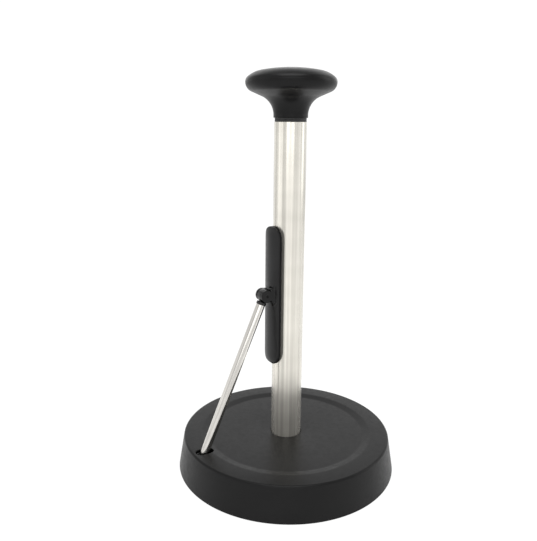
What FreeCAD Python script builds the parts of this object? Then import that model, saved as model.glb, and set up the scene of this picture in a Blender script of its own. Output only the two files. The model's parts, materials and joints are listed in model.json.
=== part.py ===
import FreeCAD, Part

# A paper towel holder: a weighted round base, a steel pole, a knob that unscrews so that a roll can be
# dropped over the pole, and a sprung arm that leans from a slot in the base and holds a pad against the
# roll. Millimetres. The origin is the centre of the underside, +Z runs up the pole and the arm lies on the
# -X side.

import math
import os
import re

import Sketcher

DIMENSIONS = [
    ("base_radius", 101.4, "cover at its lower edge"),
    ("cover_bottom", 1.0, "cover's lower edge above the table"),
    ("cover_wall", 2.4, "wall of the cover"),
    ("shoulder_radius", 96.8, "cover where the side wall meets the upper edge rounding"),
    ("shoulder_rounding", 4.0, "rounding of the cover's upper edge"),
    ("ring_top", 32.4, "flat outer ring of the cover"),
    ("dish_top", 31.0, "dish inside the ring"),
    ("step_outer", 79.5, "where the ring starts to slope down"),
    ("step_inner", 72.5, "where the slope reaches the dish"),
    ("collar_radius", 17.5, "collar round the pole under the cover"),
    ("pole_radius", 14.0, "pole"),
    ("pole_wall", 1.2, "wall of the pole"),
    ("pole_bottom", 14.5, "lower end of the pole, in the weight"),
    ("pole_top", 317.2, "upper end of the pole"),
    ("pole_clearance", 0.35, "gap round the pole where it goes through the cover"),
    ("fit_gap", 0.05, "radial clearance of a running fit"),
    ("face_gap", 0.05, "gap between flat faces that slide"),
    ("foot_outer", 98.0, "rubber foot ring, outer radius"),
    ("foot_inner", 87.5, "rubber foot ring, inner radius"),
    ("foot_height", 2.2, "rubber foot ring"),
    ("plate_radius", 98.2, "steel plate that closes the base"),
    ("plate_height", 2.0, "thickness of the steel plate"),
    ("weight_radius", 75.0, "cast weight"),
    ("weight_top", 18.3, "cast weight, upper face"),
    ("weight_chamfer", 2.0, "chamfer of the weight's upper edge"),
    ("well_radius", 11.0, "recess for the tie bolt's head"),
    ("well_top", 10.3, "top of that recess"),
    ("bolt_hole", 4.5, "weight's hole for the tie bolt, radius"),
    ("bolt_shank", 4.0, "tie bolt, radius"),
    ("bolt_length", 21.0, "shank of the tie bolt"),
    ("bolt_head", 7.5, "head of the tie bolt, from its axis to a corner"),
    ("bolt_head_height", 5.2, "head of the tie bolt"),
    ("tie_washer_radius", 9.0, "washer under the tie bolt's head"),
    ("tie_washer_height", 1.6, "thickness of that washer"),
    ("bolt_gap", 0.1, "gap round the bolt in the pole's plug and in its washer"),
    ("plug_length", 20.0, "plug that the tie bolt draws down inside the pole"),
    ("screw_circle", 81.0, "circle of the base screws"),
    ("screw_shank", 1.5, "shank radius of the small screws"),
    ("screw_head", 3.2, "head radius of the small screws"),
    ("screw_head_height", 1.7, "head of the small screws"),
    ("screw_gap", 0.3, "gap round a small screw where it passes through a piece"),
    ("recess_length", 4.2, "cross recess in a small screw's head"),
    ("recess_width", 0.8, "width of each bar of the cross"),
    ("recess_depth", 1.0, "depth of the cross"),
    ("base_screw_length", 16.0, "shank of the screws through the plate and of the knob's screw"),
    ("bracket_screw_length", 8.5, "shank of the bracket's screws"),
    ("boss_radius", 3.6, "bosses that take the small screws"),
    ("pilot_top", 23.3, "top of the holes in the bosses"),
    ("slot_inner", 76.5, "inner end of the arm's slot"),
    ("slot_outer", 93.3, "outer end of the arm's slot"),
    ("slot_half_width", 4.7, "half the width of the arm's slot"),
    ("arm_pivot_reach", 88.3, "arm's pin from the pole's axis"),
    ("arm_pivot_height", 24.0, "arm's pin above the table"),
    ("arm_length", 157.4, "from the arm's pin to the pad's pin"),
    ("arm_lean", 23.8, "degrees that the arm leans inwards at rest"),
    ("arm_radius", 4.0, "arm tube"),
    ("arm_wall", 0.8, "wall of the arm tube"),
    ("arm_start", 6.0, "lower end of the arm tube, from its pin"),
    ("arm_end", 148.0, "upper end of the arm tube, from its pin"),
    ("hub_radius", 5.5, "hub at the arm's lower end"),
    ("hub_half_width", 4.1, "half the width of that hub"),
    ("hub_spigot", 14.0, "hub's stem inside the arm tube"),
    ("pin_radius", 1.5, "arm's pin"),
    ("pin_half_length", 15.6, "half the length of the arm's pin"),
    ("clip_radius", 3.15, "clips at the pin's ends"),
    ("clip_height", 0.8, "thickness of the clips"),
    ("clip_gap", 0.1, "gap between a clip and the bracket"),
    ("clip_mouth", 1.8, "opening in a clip's ring"),
    ("spacer_radius", 3.0, "sleeve on the pin, opposite the spring"),
    ("spacer_play", 0.2, "gap at each end of that sleeve"),
    ("cheek_inside", 12.0, "bracket's cheeks, inner faces"),
    ("cheek_outside", 14.0, "bracket's cheeks, outer faces"),
    ("cheek_radius", 4.5, "bracket's cheeks round the pin"),
    ("cheek_set_back", 2.0, "cheek's foot from the plate's inboard edge"),
    ("saddle_bottom", 13.5, "bracket's plate, lower face"),
    ("saddle_top", 15.5, "bracket's plate, upper face"),
    ("saddle_outboard", 91.0, "bracket's plate, outboard edge from the pole's axis"),
    ("saddle_inboard", 79.5, "bracket's plate, inboard edge from the pole's axis"),
    ("saddle_half_length", 23.5, "half the bracket's length"),
    ("saddle_screw_across", 19.0, "bracket's screws, from the middle"),
    ("saddle_screw_reach", 85.0, "bracket's screws, from the pole's axis"),
    ("coil_radius", 4.2, "spring, mean radius"),
    ("wire_radius", 0.6, "spring wire"),
    ("coil_near_arm", 5.1, "coil's end beside the hub"),
    ("coil_near_cheek", 11.0, "coil's end beside the bracket"),
    ("wire_bend", 1.0, "bend between the coil and each of the wire's ends"),
    ("coil_whole_turns", 5, "whole turns of the coil"),
    ("coil_first_angle", 60.0, "degrees below the level where the coil starts, on its inboard side"),
    ("spring_hole_gap", 0.1, "gap round the wire's ends in their holes"),
    ("spring_leg_in_hub", 1.5, "wire's end inside the hub"),
    ("spring_hole_in_hub", 1.8, "depth of its hole"),
    ("spring_leg_past_cheek", 0.6, "wire's end past the bracket's cheek"),
    ("head_spigot", 12.0, "stem of the arm's upper end inside the tube"),
    ("collar_width", 4.4, "collar at the arm's upper end, radius"),
    ("collar_height", 2.4, "collar at the arm's upper end"),
    ("neck_radius", 2.5, "neck between the collar and the tongue"),
    ("knuckle_radius", 5.8, "round end of the tongue and of the pad's ears"),
    ("tongue_half_width", 2.75, "half the width of the tongue"),
    ("ear_inside", 3.0, "ears of the pad, inner faces"),
    ("ear_outside", 5.9, "ears of the pad, outer faces"),
    ("ear_root", 0.5, "how deep the ears start inside the pad's outer layer"),
    ("flare_width", 3.4, "how much wider the ears are at their root"),
    ("flare_height", 2.0, "how much higher the ears are at their root"),
    ("flare_reach", 2.4, "how far the flare rises over the pad's crest"),
    ("flare_inset", 0.2, "flare's tip inside the round of the ears"),
    ("ear_gap_floor", 1.5, "floor of the gap between the ears over the pad's crest"),
    ("tongue_gap", 0.3, "gap round the tongue's end"),
    ("pad_pin_radius", 1.2, "pin of the pad"),
    ("pad_face", 14.3, "pad's face to the roll, from the pole's axis at rest"),
    ("pad_seam", 16.2, "seam between the pad's two layers"),
    ("pad_crest", 19.9, "crest of the pad's outer face"),
    ("pad_edge", 0.9, "height of the outer layer at its long edges"),
    ("pad_width", 23.5, "pad"),
    ("pad_length", 126.0, "pad"),
    ("pad_middle", 166.0, "middle of the pad above the table"),
    ("pad_corner", 10.5, "corner radius of the pad's outline"),
    ("pad_end_rounding", 3.0, "rounding of the pad's outer edge at its two ends"),
    ("bush_flange", 13.6, "flange of the thread bush and the knob's washer, radius"),
    ("bush_flange_height", 1.6, "flange of the thread bush, and the knob's washer"),
    ("bush_depth", 20.0, "thread bush inside the pole"),
    ("thread_radius", 8.0, "thread of the knob, bore"),
    ("washer_gap", 0.4, "gap round the knob's stem in the washer"),
    ("stem_chamfer", 1.0, "chamfer of the stem's lower end"),
    ("thread_engagement", 14.0, "length of the knob's stem inside the bush"),
    ("knob_neck_radius", 14.7, "knob where it meets the pole"),
    ("knob_flare_start", 322.8, "height where the knob's flare starts"),
    ("knob_flare_radius", 16.6, "hollow curve of the flare"),
    ("knob_under_slope", 23.0, "degrees of the knob's underside"),
    ("knob_radius", 38.5, "knob at its widest"),
    ("knob_widest", 349.4, "height where the knob is widest, and its parting line"),
    ("knob_rim_under", 8.3, "rounding of the rim below the parting line"),
    ("knob_rim_over", 5.5, "rounding of the rim above the parting line"),
    ("knob_shoulder_slope", 41.0, "degrees of the knob's top where its shoulder meets the rim"),
    ("knob_shoulder_radius", 21.8, "shoulder of the knob's top"),
    ("knob_top_slope", 11.0, "degrees of the knob's top where its crown meets the shoulder"),
    ("knob_wall", 2.4, "wall of the knob's two shells"),
    ("knob_floor", 330.0, "floor inside the knob's neck"),
    ("lip_inset", 1.0, "cap's lip from the inside of the knob's lower shell"),
    ("lip_wall", 1.4, "wall of the cap's lip"),
    ("lip_depth", 2.6, "cap's lip below the parting line"),
    ("lip_root", 2.0, "where the lip's inside ends above the parting line"),
    ("cut_margin", 5.0, "how far a cut runs past the piece that it cuts"),
]

LEFT = "left"
RIGHT = "right"
UPRIGHT_PLANE = "XZ_Plane"
END_PLANE = "YZ_Plane"
FLOOR_PLANE = "XY_Plane"
BASE_SCREW_ANGLES = (45, 135, 225, 315)
SMALLEST_CUT = 0.01
POINTS_PER_TURN = 24
BEND_POINTS = 5
PAD_PIN_REACH = "(arm_pivot_reach - arm_length * sin(arm_lean))"
PAD_PIN_HEIGHT = "(arm_pivot_height + arm_length * cos(arm_lean))"

ALIASES = {alias for alias, _, _ in DIMENSIONS}

document = FreeCAD.newDocument("PaperTowelHolder")
sheet = document.addObject("Spreadsheet::Sheet", "Dimensions")
pieces = []


# ---- the sheet of dimensions -------------------------------------------------------------------------------


def fill_sheet():
    for row, (alias, value, meaning) in enumerate(DIMENSIONS, start=1):
        sheet.set(f"A{row}", meaning)
        sheet.set(f"B{row}", str(value))
        sheet.setAlias(f"B{row}", alias)
    document.recompute()


def reference(text):
    """The expression with each alias written as a reference to the sheet."""
    return re.sub(r"[a-z]\w*", lambda word: f"Dimensions.{word[0]}" if word[0] in ALIASES else word[0], text)


def size(text):
    """The value of an expression in the sheet's aliases."""
    return float(sheet.evalExpression(reference(text)))


def bind(item, prop, text):
    item.setExpression(prop, reference(text))


# ---- plain solids ------------------------------------------------------------------------------------------


def keep(item, label):
    """Gives a finished piece its name and puts it on the list of pieces to write."""
    item.Label = label
    pieces.append(item)
    return item


def cylinder(name, radius, bottom, top):
    item = document.addObject("Part::Cylinder", name)
    bind(item, "Radius", radius)
    bind(item, "Height", f"({top}) - ({bottom})")
    bind(item, "Placement.Base.z", bottom)
    return item


def cut(name, base, tool):
    item = document.addObject("Part::Cut", name)
    item.Base = base
    item.Tool = tool
    return item


def fuse(name, *solids):
    item = document.addObject("Part::MultiFuse", name)
    item.Shapes = list(solids)
    return item


def group(name, solids):
    item = document.addObject("Part::Compound", name)
    item.Links = list(solids)
    return item


def tube(name, outer, inner, bottom, top):
    blank = cylinder(f"{name}_blank", outer, bottom, top)
    bore = cylinder(f"{name}_bore", inner, bottom, top)
    return cut(name, blank, bore)


def lay_across(item):
    """Turns a piece made along +Z so that it runs along +Y."""
    item.Placement = FreeCAD.Placement(item.Placement.Base, FreeCAD.Rotation(FreeCAD.Vector(1, 0, 0), -90))
    return item


def across(name, radius, low, high):
    """A cylinder about +Y between two distances from the middle plane."""
    item = document.addObject("Part::Cylinder", name)
    bind(item, "Radius", radius)
    bind(item, "Height", f"({high}) - ({low})")
    lay_across(item)
    bind(item, "Placement.Base.y", low)
    return item


def across_tube(name, outer, inner, low, high):
    blank = across(f"{name}_blank", outer, low, high)
    bore = across(f"{name}_bore", inner, low, high)
    return cut(name, blank, bore)


def move(item, reach, height):
    """Places a piece in the arm's plane, so far outboard of the pole's axis and so high."""
    bind(item, "Placement.Base.x", f"-({reach})")
    bind(item, "Placement.Base.z", height)
    return item


def move_to_arm_pin(item):
    return move(item, "arm_pivot_reach", "arm_pivot_height")


def move_to_pad_pin(item):
    return move(item, PAD_PIN_REACH, PAD_PIN_HEIGHT)


def lean_with_arm(item):
    """Places a piece that was made along +Z from the arm's pin."""
    item.Placement = FreeCAD.Placement(FreeCAD.Vector(), FreeCAD.Rotation(FreeCAD.Vector(0, 1, 0), 1))
    bind(item, "Placement.Rotation.Angle", "arm_lean")
    return move_to_arm_pin(item)


# ---- bodies made of sketches and features ------------------------------------------------------------------


def new_body(label):
    body = document.addObject("PartDesign::Body", label)
    return keep(body, label)


def new_sketch(body, name, role, offset="0"):
    """An empty sketch on one of the body's own origin planes, moved along the plane's normal."""
    sketch = body.newObject("Sketcher::SketchObject", name)
    plane = next(item for item in body.Origin.OriginFeatures if item.Role == role)
    sketch.AttachmentSupport = [(plane, "")]
    sketch.MapMode = "FlatFace"
    bind(sketch, "AttachmentOffset.Base.z", offset)
    return sketch


def constrain(sketch, kind, places, text):
    """Adds a constraint whose value is an expression in the sheet's aliases."""
    number = sketch.addConstraint(Sketcher.Constraint(kind, *places, size(text)))
    bind(sketch, f"Constraints[{number}]", text)


def arc_middle(start, end, radius, side):
    """The middle of the short arc between two points, its centre on the left or right of the way."""
    chord = end - start
    middle = (start + end) * 0.5
    to_left = FreeCAD.Vector(-chord.y, chord.x, 0).normalize()
    to_centre = to_left if side == LEFT else -to_left
    half = chord.Length / 2
    return middle - to_centre * (radius - math.sqrt(radius * radius - half * half))


def draw_outline(sketch, corners):
    """Draws a closed outline with every corner and radius bound to the sheet.

    A corner is (across, up), or (across, up, radius, side) where the edge that starts there is an arc.
    """
    points = [FreeCAD.Vector(size(corner[0]), size(corner[1]), 0) for corner in corners]
    for number, corner in enumerate(corners):
        start = points[number]
        end = points[(number + 1) % len(points)]
        if len(corner) == 2:
            sketch.addGeometry(Part.LineSegment(start, end))
        else:
            bulge = arc_middle(start, end, size(corner[2]), corner[3])
            sketch.addGeometry(Part.Arc(start, bulge, end))
    # An arc is kept anticlockwise, so an edge with its centre on the right starts at the arc's second end.
    starts = [1 if len(corner) == 2 or corner[3] == LEFT else 2 for corner in corners]
    for number, corner in enumerate(corners):
        following = (number + 1) % len(corners)
        sketch.addConstraint(
            Sketcher.Constraint("Coincident", number, 3 - starts[number], following, starts[following])
        )
        constrain(sketch, "DistanceX", (-1, 1, number, starts[number]), corner[0])
        constrain(sketch, "DistanceY", (-1, 1, number, starts[number]), corner[1])
        if len(corner) > 2:
            constrain(sketch, "Radius", (number,), corner[2])


def draw_circles(sketch, circles):
    """Draws circles, each (across, up, radius)."""
    for across_text, up_text, radius_text in circles:
        centre = FreeCAD.Vector(size(across_text), size(up_text), 0)
        circle = Part.Circle(centre, FreeCAD.Vector(0, 0, 1), size(radius_text))
        number = sketch.addGeometry(circle)
        constrain(sketch, "DistanceX", (-1, 1, number, 3), across_text)
        constrain(sketch, "DistanceY", (-1, 1, number, 3), up_text)
        constrain(sketch, "Radius", (number,), radius_text)


def turn(body, name, corners):
    """Adds the solid that an upright half section makes when it is turned about the body's Z axis."""
    sketch = new_sketch(body, f"{name}_section", UPRIGHT_PLANE)
    draw_outline(sketch, corners)
    feature = body.newObject("PartDesign::Revolution", name)
    feature.Profile = sketch
    feature.ReferenceAxis = (sketch, ["V_Axis"])
    feature.Angle = 360
    document.recompute()
    return feature


def pad(body, name, sketch, length, both_sides=False):
    feature = body.newObject("PartDesign::Pad", name)
    feature.Profile = sketch
    feature.SideType = "Symmetric" if both_sides else "One side"
    bind(feature, "Length", length)
    document.recompute()
    return feature


def pocket(body, name, sketch, length, both_sides=False, along_normal=True):
    """Cuts a sketch out of the body, along its plane's normal or against it; the cut must meet the body."""
    before = body.Tip.Shape.Volume
    feature = body.newObject("PartDesign::Pocket", name)
    feature.Profile = sketch
    feature.SideType = "Symmetric" if both_sides else "One side"
    feature.Reversed = along_normal
    bind(feature, "Length", length)
    document.recompute()
    if before - body.Tip.Shape.Volume < SMALLEST_CUT:
        raise RuntimeError(f"{name} cuts nothing")
    return feature


# ---- base --------------------------------------------------------------------------------------------------


def on_screw_circle(angle):
    """The two coordinates, as expressions, of a base screw at that angle."""
    return f"screw_circle * cos({angle})", f"screw_circle * sin({angle})"


def saddle_screw_places():
    return [("-saddle_screw_reach", f"{side} * saddle_screw_across") for side in ("-1", "1")]


def make_base_cover():
    body = new_body("base_cover")
    hole = "pole_radius + pole_clearance"
    section = [
        (hole, "weight_top + face_gap"),
        ("collar_radius", "weight_top + face_gap"),
        ("collar_radius", "dish_top - cover_wall"),
        ("step_inner", "dish_top - cover_wall"),
        ("step_outer", "ring_top - cover_wall"),
        ("shoulder_radius - shoulder_rounding", "ring_top - cover_wall"),
        ("shoulder_radius - cover_wall", "ring_top - shoulder_rounding"),
        ("base_radius - cover_wall", "cover_bottom"),
        ("base_radius", "cover_bottom"),
        ("shoulder_radius", "ring_top - shoulder_rounding", "shoulder_rounding", LEFT),
        ("shoulder_radius - shoulder_rounding", "ring_top"),
        ("step_outer", "ring_top"),
        ("step_inner", "dish_top"),
        (hole, "dish_top"),
    ]
    turn(body, "shell", section)

    bosses = [(*on_screw_circle(angle), "boss_radius") for angle in BASE_SCREW_ANGLES]
    boss_sketch = new_sketch(body, "plate_bosses", FLOOR_PLANE, "foot_height + plate_height")
    draw_circles(boss_sketch, bosses)
    pad(body, "plate_boss", boss_sketch, "ring_top - cover_wall / 2 - foot_height - plate_height")

    saddle_bosses = [(*place, "boss_radius") for place in saddle_screw_places()]
    saddle_sketch = new_sketch(body, "saddle_bosses", FLOOR_PLANE, "saddle_top")
    draw_circles(saddle_sketch, saddle_bosses)
    pad(body, "saddle_boss", saddle_sketch, "ring_top - cover_wall / 2 - saddle_top")

    pilots = [(*on_screw_circle(angle), "screw_shank") for angle in BASE_SCREW_ANGLES]
    pilots += [(*place, "screw_shank") for place in saddle_screw_places()]
    pilot_sketch = new_sketch(body, "pilot_holes", FLOOR_PLANE)
    draw_circles(pilot_sketch, pilots)
    pocket(body, "pilot_hole", pilot_sketch, "pilot_top")

    slot_sketch = new_sketch(body, "arm_slot", FLOOR_PLANE, "dish_top - 2 * cover_wall")
    draw_outline(
        slot_sketch,
        [
            ("-slot_outer + slot_half_width", "slot_half_width", "slot_half_width", LEFT),
            ("-slot_outer", "0", "slot_half_width", LEFT),
            ("-slot_outer + slot_half_width", "-slot_half_width"),
            ("-slot_inner - slot_half_width", "-slot_half_width", "slot_half_width", LEFT),
            ("-slot_inner", "0", "slot_half_width", LEFT),
            ("-slot_inner - slot_half_width", "slot_half_width"),
        ],
    )
    pocket(body, "slot", slot_sketch, "ring_top - dish_top + 3 * cover_wall")


def make_base_weight():
    body = new_body("base_weight")
    bottom = "foot_height + plate_height + face_gap"
    turn(
        body,
        "casting",
        [
            ("well_radius", bottom),
            ("weight_radius", bottom),
            ("weight_radius", "weight_top - weight_chamfer"),
            ("weight_radius - weight_chamfer", "weight_top"),
            ("pole_radius + fit_gap", "weight_top"),
            ("pole_radius + fit_gap", "pole_bottom"),
            ("bolt_hole", "pole_bottom"),
            ("bolt_hole", "well_top"),
            ("well_radius", "well_top"),
        ],
    )


def make_base_plate():
    blank = tube("plate_disc", "plate_radius", "well_radius", "foot_height", "foot_height + plate_height")
    holes = []
    for angle in BASE_SCREW_ANGLES:
        name = f"plate_hole_{angle}"
        hole = cylinder(name, "screw_shank + screw_gap", "foot_height", "foot_height + plate_height")
        across_text, up_text = on_screw_circle(angle)
        bind(hole, "Placement.Base.x", across_text)
        bind(hole, "Placement.Base.y", up_text)
        holes.append(hole)
    keep(cut("plate", blank, fuse("plate_holes", *holes)), "base_plate")


def make_foot_ring():
    keep(tube("foot", "foot_outer", "foot_inner", "0", "foot_height"), "foot_ring")


def screw(name, length):
    """A small screw that stands head down at the origin, with a cross recess in its head."""
    head = cylinder(f"{name}_head", "screw_head", "-screw_head_height", "0")
    shank = cylinder(f"{name}_shank", "screw_shank", "0", length)
    slots = []
    for number, turned in enumerate((0, 90)):
        slot = document.addObject("Part::Box", f"{name}_recess_{number}")
        bind(slot, "Length", "recess_length")
        bind(slot, "Width", "recess_width")
        bind(slot, "Height", "recess_depth")
        spin = FreeCAD.Rotation(FreeCAD.Vector(0, 0, 1), turned)
        half = spin.multVec(FreeCAD.Vector(size("recess_length / 2"), size("recess_width / 2"), 0))
        slot.Placement = FreeCAD.Placement(FreeCAD.Vector(0, 0, -size("screw_head_height")) - half, spin)
        slots.append(slot)
    return cut(name, fuse(f"{name}_blank", head, shank), fuse(f"{name}_recess", *slots))


def make_base_screws():
    screws = []
    for angle in BASE_SCREW_ANGLES:
        item = screw(f"base_screw_{angle}", "base_screw_length")
        across_text, up_text = on_screw_circle(angle)
        bind(item, "Placement.Base.x", across_text)
        bind(item, "Placement.Base.y", up_text)
        bind(item, "Placement.Base.z", "foot_height")
        screws.append(item)
    keep(group("plate_screws", screws), "base_screws")


# ---- pole --------------------------------------------------------------------------------------------------


def make_pole():
    bore = "bolt_shank + bolt_gap"
    plug_radius = "pole_radius - pole_wall - fit_gap"
    washer_bottom = "well_top - tie_washer_height"
    keep(tube("pole", "pole_radius", "pole_radius - pole_wall", "pole_bottom", "pole_top"), "pole_tube")
    keep(tube("plug", plug_radius, bore, "pole_bottom + face_gap", "pole_bottom + plug_length"), "pole_foot")
    keep(tube("washer", "tie_washer_radius", bore, washer_bottom, "well_top"), "tie_washer")

    bolt = new_body("tie_bolt")
    head_sketch = new_sketch(bolt, "head_outline", FLOOR_PLANE, f"{washer_bottom} - bolt_head_height")
    corners = [(f"bolt_head * cos({angle})", f"bolt_head * sin({angle})") for angle in range(0, 360, 60)]
    draw_outline(head_sketch, corners)
    pad(bolt, "head", head_sketch, "bolt_head_height")
    shank_sketch = new_sketch(bolt, "shank_outline", FLOOR_PLANE, washer_bottom)
    draw_circles(shank_sketch, [("0", "0", "bolt_shank")])
    pad(bolt, "shank", shank_sketch, "bolt_length")


def make_pole_top_insert():
    body = new_body("pole_top_insert")
    sleeve = "pole_radius - pole_wall - fit_gap"
    turn(
        body,
        "bush",
        [
            ("thread_radius", "pole_top - bush_depth"),
            (sleeve, "pole_top - bush_depth"),
            (sleeve, "pole_top"),
            ("bush_flange", "pole_top"),
            ("bush_flange", "pole_top + bush_flange_height"),
            ("thread_radius", "pole_top + bush_flange_height"),
        ],
    )


# ---- knob --------------------------------------------------------------------------------------------------

KNOB_BOTTOM = "pole_top + 2 * bush_flange_height + 2 * face_gap"
FLARE_CENTRE = "knob_neck_radius + knob_flare_radius"
UNDER_CENTRE = "knob_radius - knob_rim_under"
OVER_CENTRE = "knob_radius - knob_rim_over"
SHOULDER_REACH = f"({OVER_CENTRE} + knob_rim_over * sin(knob_shoulder_slope))"
SHOULDER_HEIGHT = "(knob_widest + knob_rim_over * cos(knob_shoulder_slope))"
SHOULDER_WIDTH = "knob_shoulder_radius * (sin(knob_shoulder_slope) - sin(knob_top_slope))"
SHOULDER_RISE = "knob_shoulder_radius * (cos(knob_top_slope) - cos(knob_shoulder_slope))"
CROWN_REACH = f"({SHOULDER_REACH} - {SHOULDER_WIDTH})"
CROWN_HEIGHT = f"({SHOULDER_HEIGHT} + {SHOULDER_RISE})"
CROWN_RADIUS = f"({CROWN_REACH} / sin(knob_top_slope))"


def make_knob_washer():
    washer = tube(
        "ring",
        "bush_flange",
        "thread_radius + washer_gap",
        "pole_top + bush_flange_height + face_gap",
        "pole_top + 2 * bush_flange_height + face_gap",
    )
    keep(washer, "knob_washer")


def flare_point(wall):
    """Where the flare meets the straight underside, at that depth inside the surface."""
    radius = f"(knob_flare_radius + {wall})"
    return (
        f"{FLARE_CENTRE} - {radius} * sin(knob_under_slope)",
        f"knob_flare_start + {radius} * cos(knob_under_slope)",
    )


def rim_point(wall):
    """Where the straight underside meets the rim's rounding, at that depth inside the surface."""
    radius = f"(knob_rim_under - {wall})"
    return (
        f"{UNDER_CENTRE} + {radius} * sin(knob_under_slope)",
        f"knob_widest - {radius} * cos(knob_under_slope)",
    )


def make_knob_body():
    body = new_body("knob_body")
    floor_top = "knob_floor + knob_wall"
    inner_flare = "(knob_flare_radius + knob_wall)"
    inner_neck = f"{FLARE_CENTRE} - sqrt({inner_flare} ^ 2 - ({floor_top} - knob_flare_start) ^ 2)"
    turn(
        body,
        "funnel",
        [
            ("thread_radius", KNOB_BOTTOM),
            ("knob_neck_radius", KNOB_BOTTOM),
            ("knob_neck_radius", "knob_flare_start", "knob_flare_radius", RIGHT),
            flare_point("0"),
            (*rim_point("0"), "knob_rim_under", LEFT),
            ("knob_radius", "knob_widest"),
            ("knob_radius - knob_wall", "knob_widest", "knob_rim_under - knob_wall", RIGHT),
            rim_point("knob_wall"),
            (*flare_point("knob_wall"), inner_flare, LEFT),
            (inner_neck, floor_top),
            ("screw_shank + screw_gap", floor_top),
            ("screw_shank + screw_gap", "knob_floor"),
            ("thread_radius", "knob_floor"),
        ],
    )


def make_knob_cap():
    body = new_body("knob_cap")
    crown_top = f"{CROWN_HEIGHT} + {CROWN_RADIUS} * (1 - cos(knob_top_slope))"
    lip_out = "knob_radius - knob_wall - lip_inset"
    lip_in = "knob_radius - knob_wall - lip_inset - lip_wall"
    turn(
        body,
        "dome",
        [
            ("knob_radius", "knob_widest", "knob_rim_over", LEFT),
            (SHOULDER_REACH, SHOULDER_HEIGHT, "knob_shoulder_radius", LEFT),
            (CROWN_REACH, CROWN_HEIGHT, CROWN_RADIUS, LEFT),
            ("0", crown_top),
            ("0", f"{crown_top} - knob_wall", f"{CROWN_RADIUS} - knob_wall", RIGHT),
            (
                f"{CROWN_REACH} - knob_wall * sin(knob_top_slope)",
                f"{CROWN_HEIGHT} - knob_wall * cos(knob_top_slope)",
                "knob_shoulder_radius - knob_wall",
                RIGHT,
            ),
            (
                f"{SHOULDER_REACH} - knob_wall * sin(knob_shoulder_slope)",
                f"{SHOULDER_HEIGHT} - knob_wall * cos(knob_shoulder_slope)",
            ),
            (lip_in, "knob_widest + lip_root"),
            (lip_in, "knob_widest - lip_depth"),
            (lip_out, "knob_widest - lip_depth"),
            (lip_out, "knob_widest"),
        ],
    )


def make_knob_stud():
    body = new_body("knob_stud")
    stem = "thread_radius - fit_gap"
    bottom = "pole_top + bush_flange_height - thread_engagement"
    turn(
        body,
        "stem",
        [
            ("screw_shank", bottom),
            (f"{stem} - stem_chamfer", bottom),
            (stem, f"{bottom} + stem_chamfer"),
            (stem, "knob_floor"),
            ("screw_shank", "knob_floor"),
        ],
    )


def make_knob_screw():
    item = screw("stem_screw", "base_screw_length")
    item.Placement = FreeCAD.Placement(FreeCAD.Vector(), FreeCAD.Rotation(FreeCAD.Vector(1, 0, 0), 180))
    bind(item, "Placement.Base.z", "knob_floor + knob_wall")
    keep(item, "knob_screw")


# ---- arm's pivot inside the base ---------------------------------------------------------------------------


def make_pivot_bracket():
    body = new_body("pivot_bracket")
    plate_sketch = new_sketch(body, "saddle_outline", FLOOR_PLANE, "saddle_bottom")
    draw_outline(
        plate_sketch,
        [
            ("-saddle_outboard", "-saddle_half_length"),
            ("-saddle_inboard", "-saddle_half_length"),
            ("-saddle_inboard", "saddle_half_length"),
            ("-saddle_outboard", "saddle_half_length"),
        ],
    )
    pad(body, "saddle", plate_sketch, "saddle_top - saddle_bottom")

    cheek_sketch = new_sketch(body, "cheek_outline", UPRIGHT_PLANE)
    draw_outline(
        cheek_sketch,
        [
            ("-saddle_outboard", "saddle_bottom"),
            ("-saddle_inboard - cheek_set_back", "saddle_bottom"),
            ("-arm_pivot_reach + cheek_radius", "arm_pivot_height", "cheek_radius", LEFT),
            ("-arm_pivot_reach", "arm_pivot_height + cheek_radius", "cheek_radius", LEFT),
            ("-arm_pivot_reach - cheek_radius", "arm_pivot_height"),
        ],
    )
    pad(body, "cheek_block", cheek_sketch, "2 * cheek_outside", both_sides=True)

    gap_sketch = new_sketch(body, "gap_outline", UPRIGHT_PLANE)
    draw_outline(
        gap_sketch,
        [
            ("-saddle_outboard - cut_margin", "saddle_top"),
            ("-saddle_inboard + cut_margin", "saddle_top"),
            ("-saddle_inboard + cut_margin", "ring_top"),
            ("-saddle_outboard - cut_margin", "ring_top"),
        ],
    )
    pocket(body, "gap", gap_sketch, "2 * cheek_inside", both_sides=True)

    bore_sketch = new_sketch(body, "pin_bore", UPRIGHT_PLANE)
    draw_circles(bore_sketch, [("-arm_pivot_reach", "arm_pivot_height", "pin_radius + fit_gap")])
    pocket(body, "bore", bore_sketch, "4 * cheek_outside", both_sides=True)

    spring_sketch = new_sketch(body, "spring_hole", UPRIGHT_PLANE)
    hole_across = "-arm_pivot_reach + coil_radius * cos(coil_first_angle)"
    hole_up = "arm_pivot_height - coil_radius * sin(coil_first_angle)"
    draw_circles(spring_sketch, [(hole_across, hole_up, "wire_radius + spring_hole_gap")])
    pocket(body, "spring_end_hole", spring_sketch, "2 * cheek_outside", along_normal=False)

    screw_sketch = new_sketch(body, "screw_holes", FLOOR_PLANE)
    draw_circles(screw_sketch, [(*place, "screw_shank + screw_gap") for place in saddle_screw_places()])
    pocket(body, "screw_hole", screw_sketch, "ring_top")


def make_bracket_screws():
    screws = []
    for number, place in enumerate(saddle_screw_places()):
        item = screw(f"bracket_screw_{number}", "bracket_screw_length")
        bind(item, "Placement.Base.x", place[0])
        bind(item, "Placement.Base.y", place[1])
        bind(item, "Placement.Base.z", "saddle_bottom")
        screws.append(item)
    keep(group("saddle_screws", screws), "bracket_screws")


def make_arm_pivot_pin():
    pin = across("arm_pin", "pin_radius", "-pin_half_length", "pin_half_length")
    keep(move_to_arm_pin(pin), "arm_pivot_pin")


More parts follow.
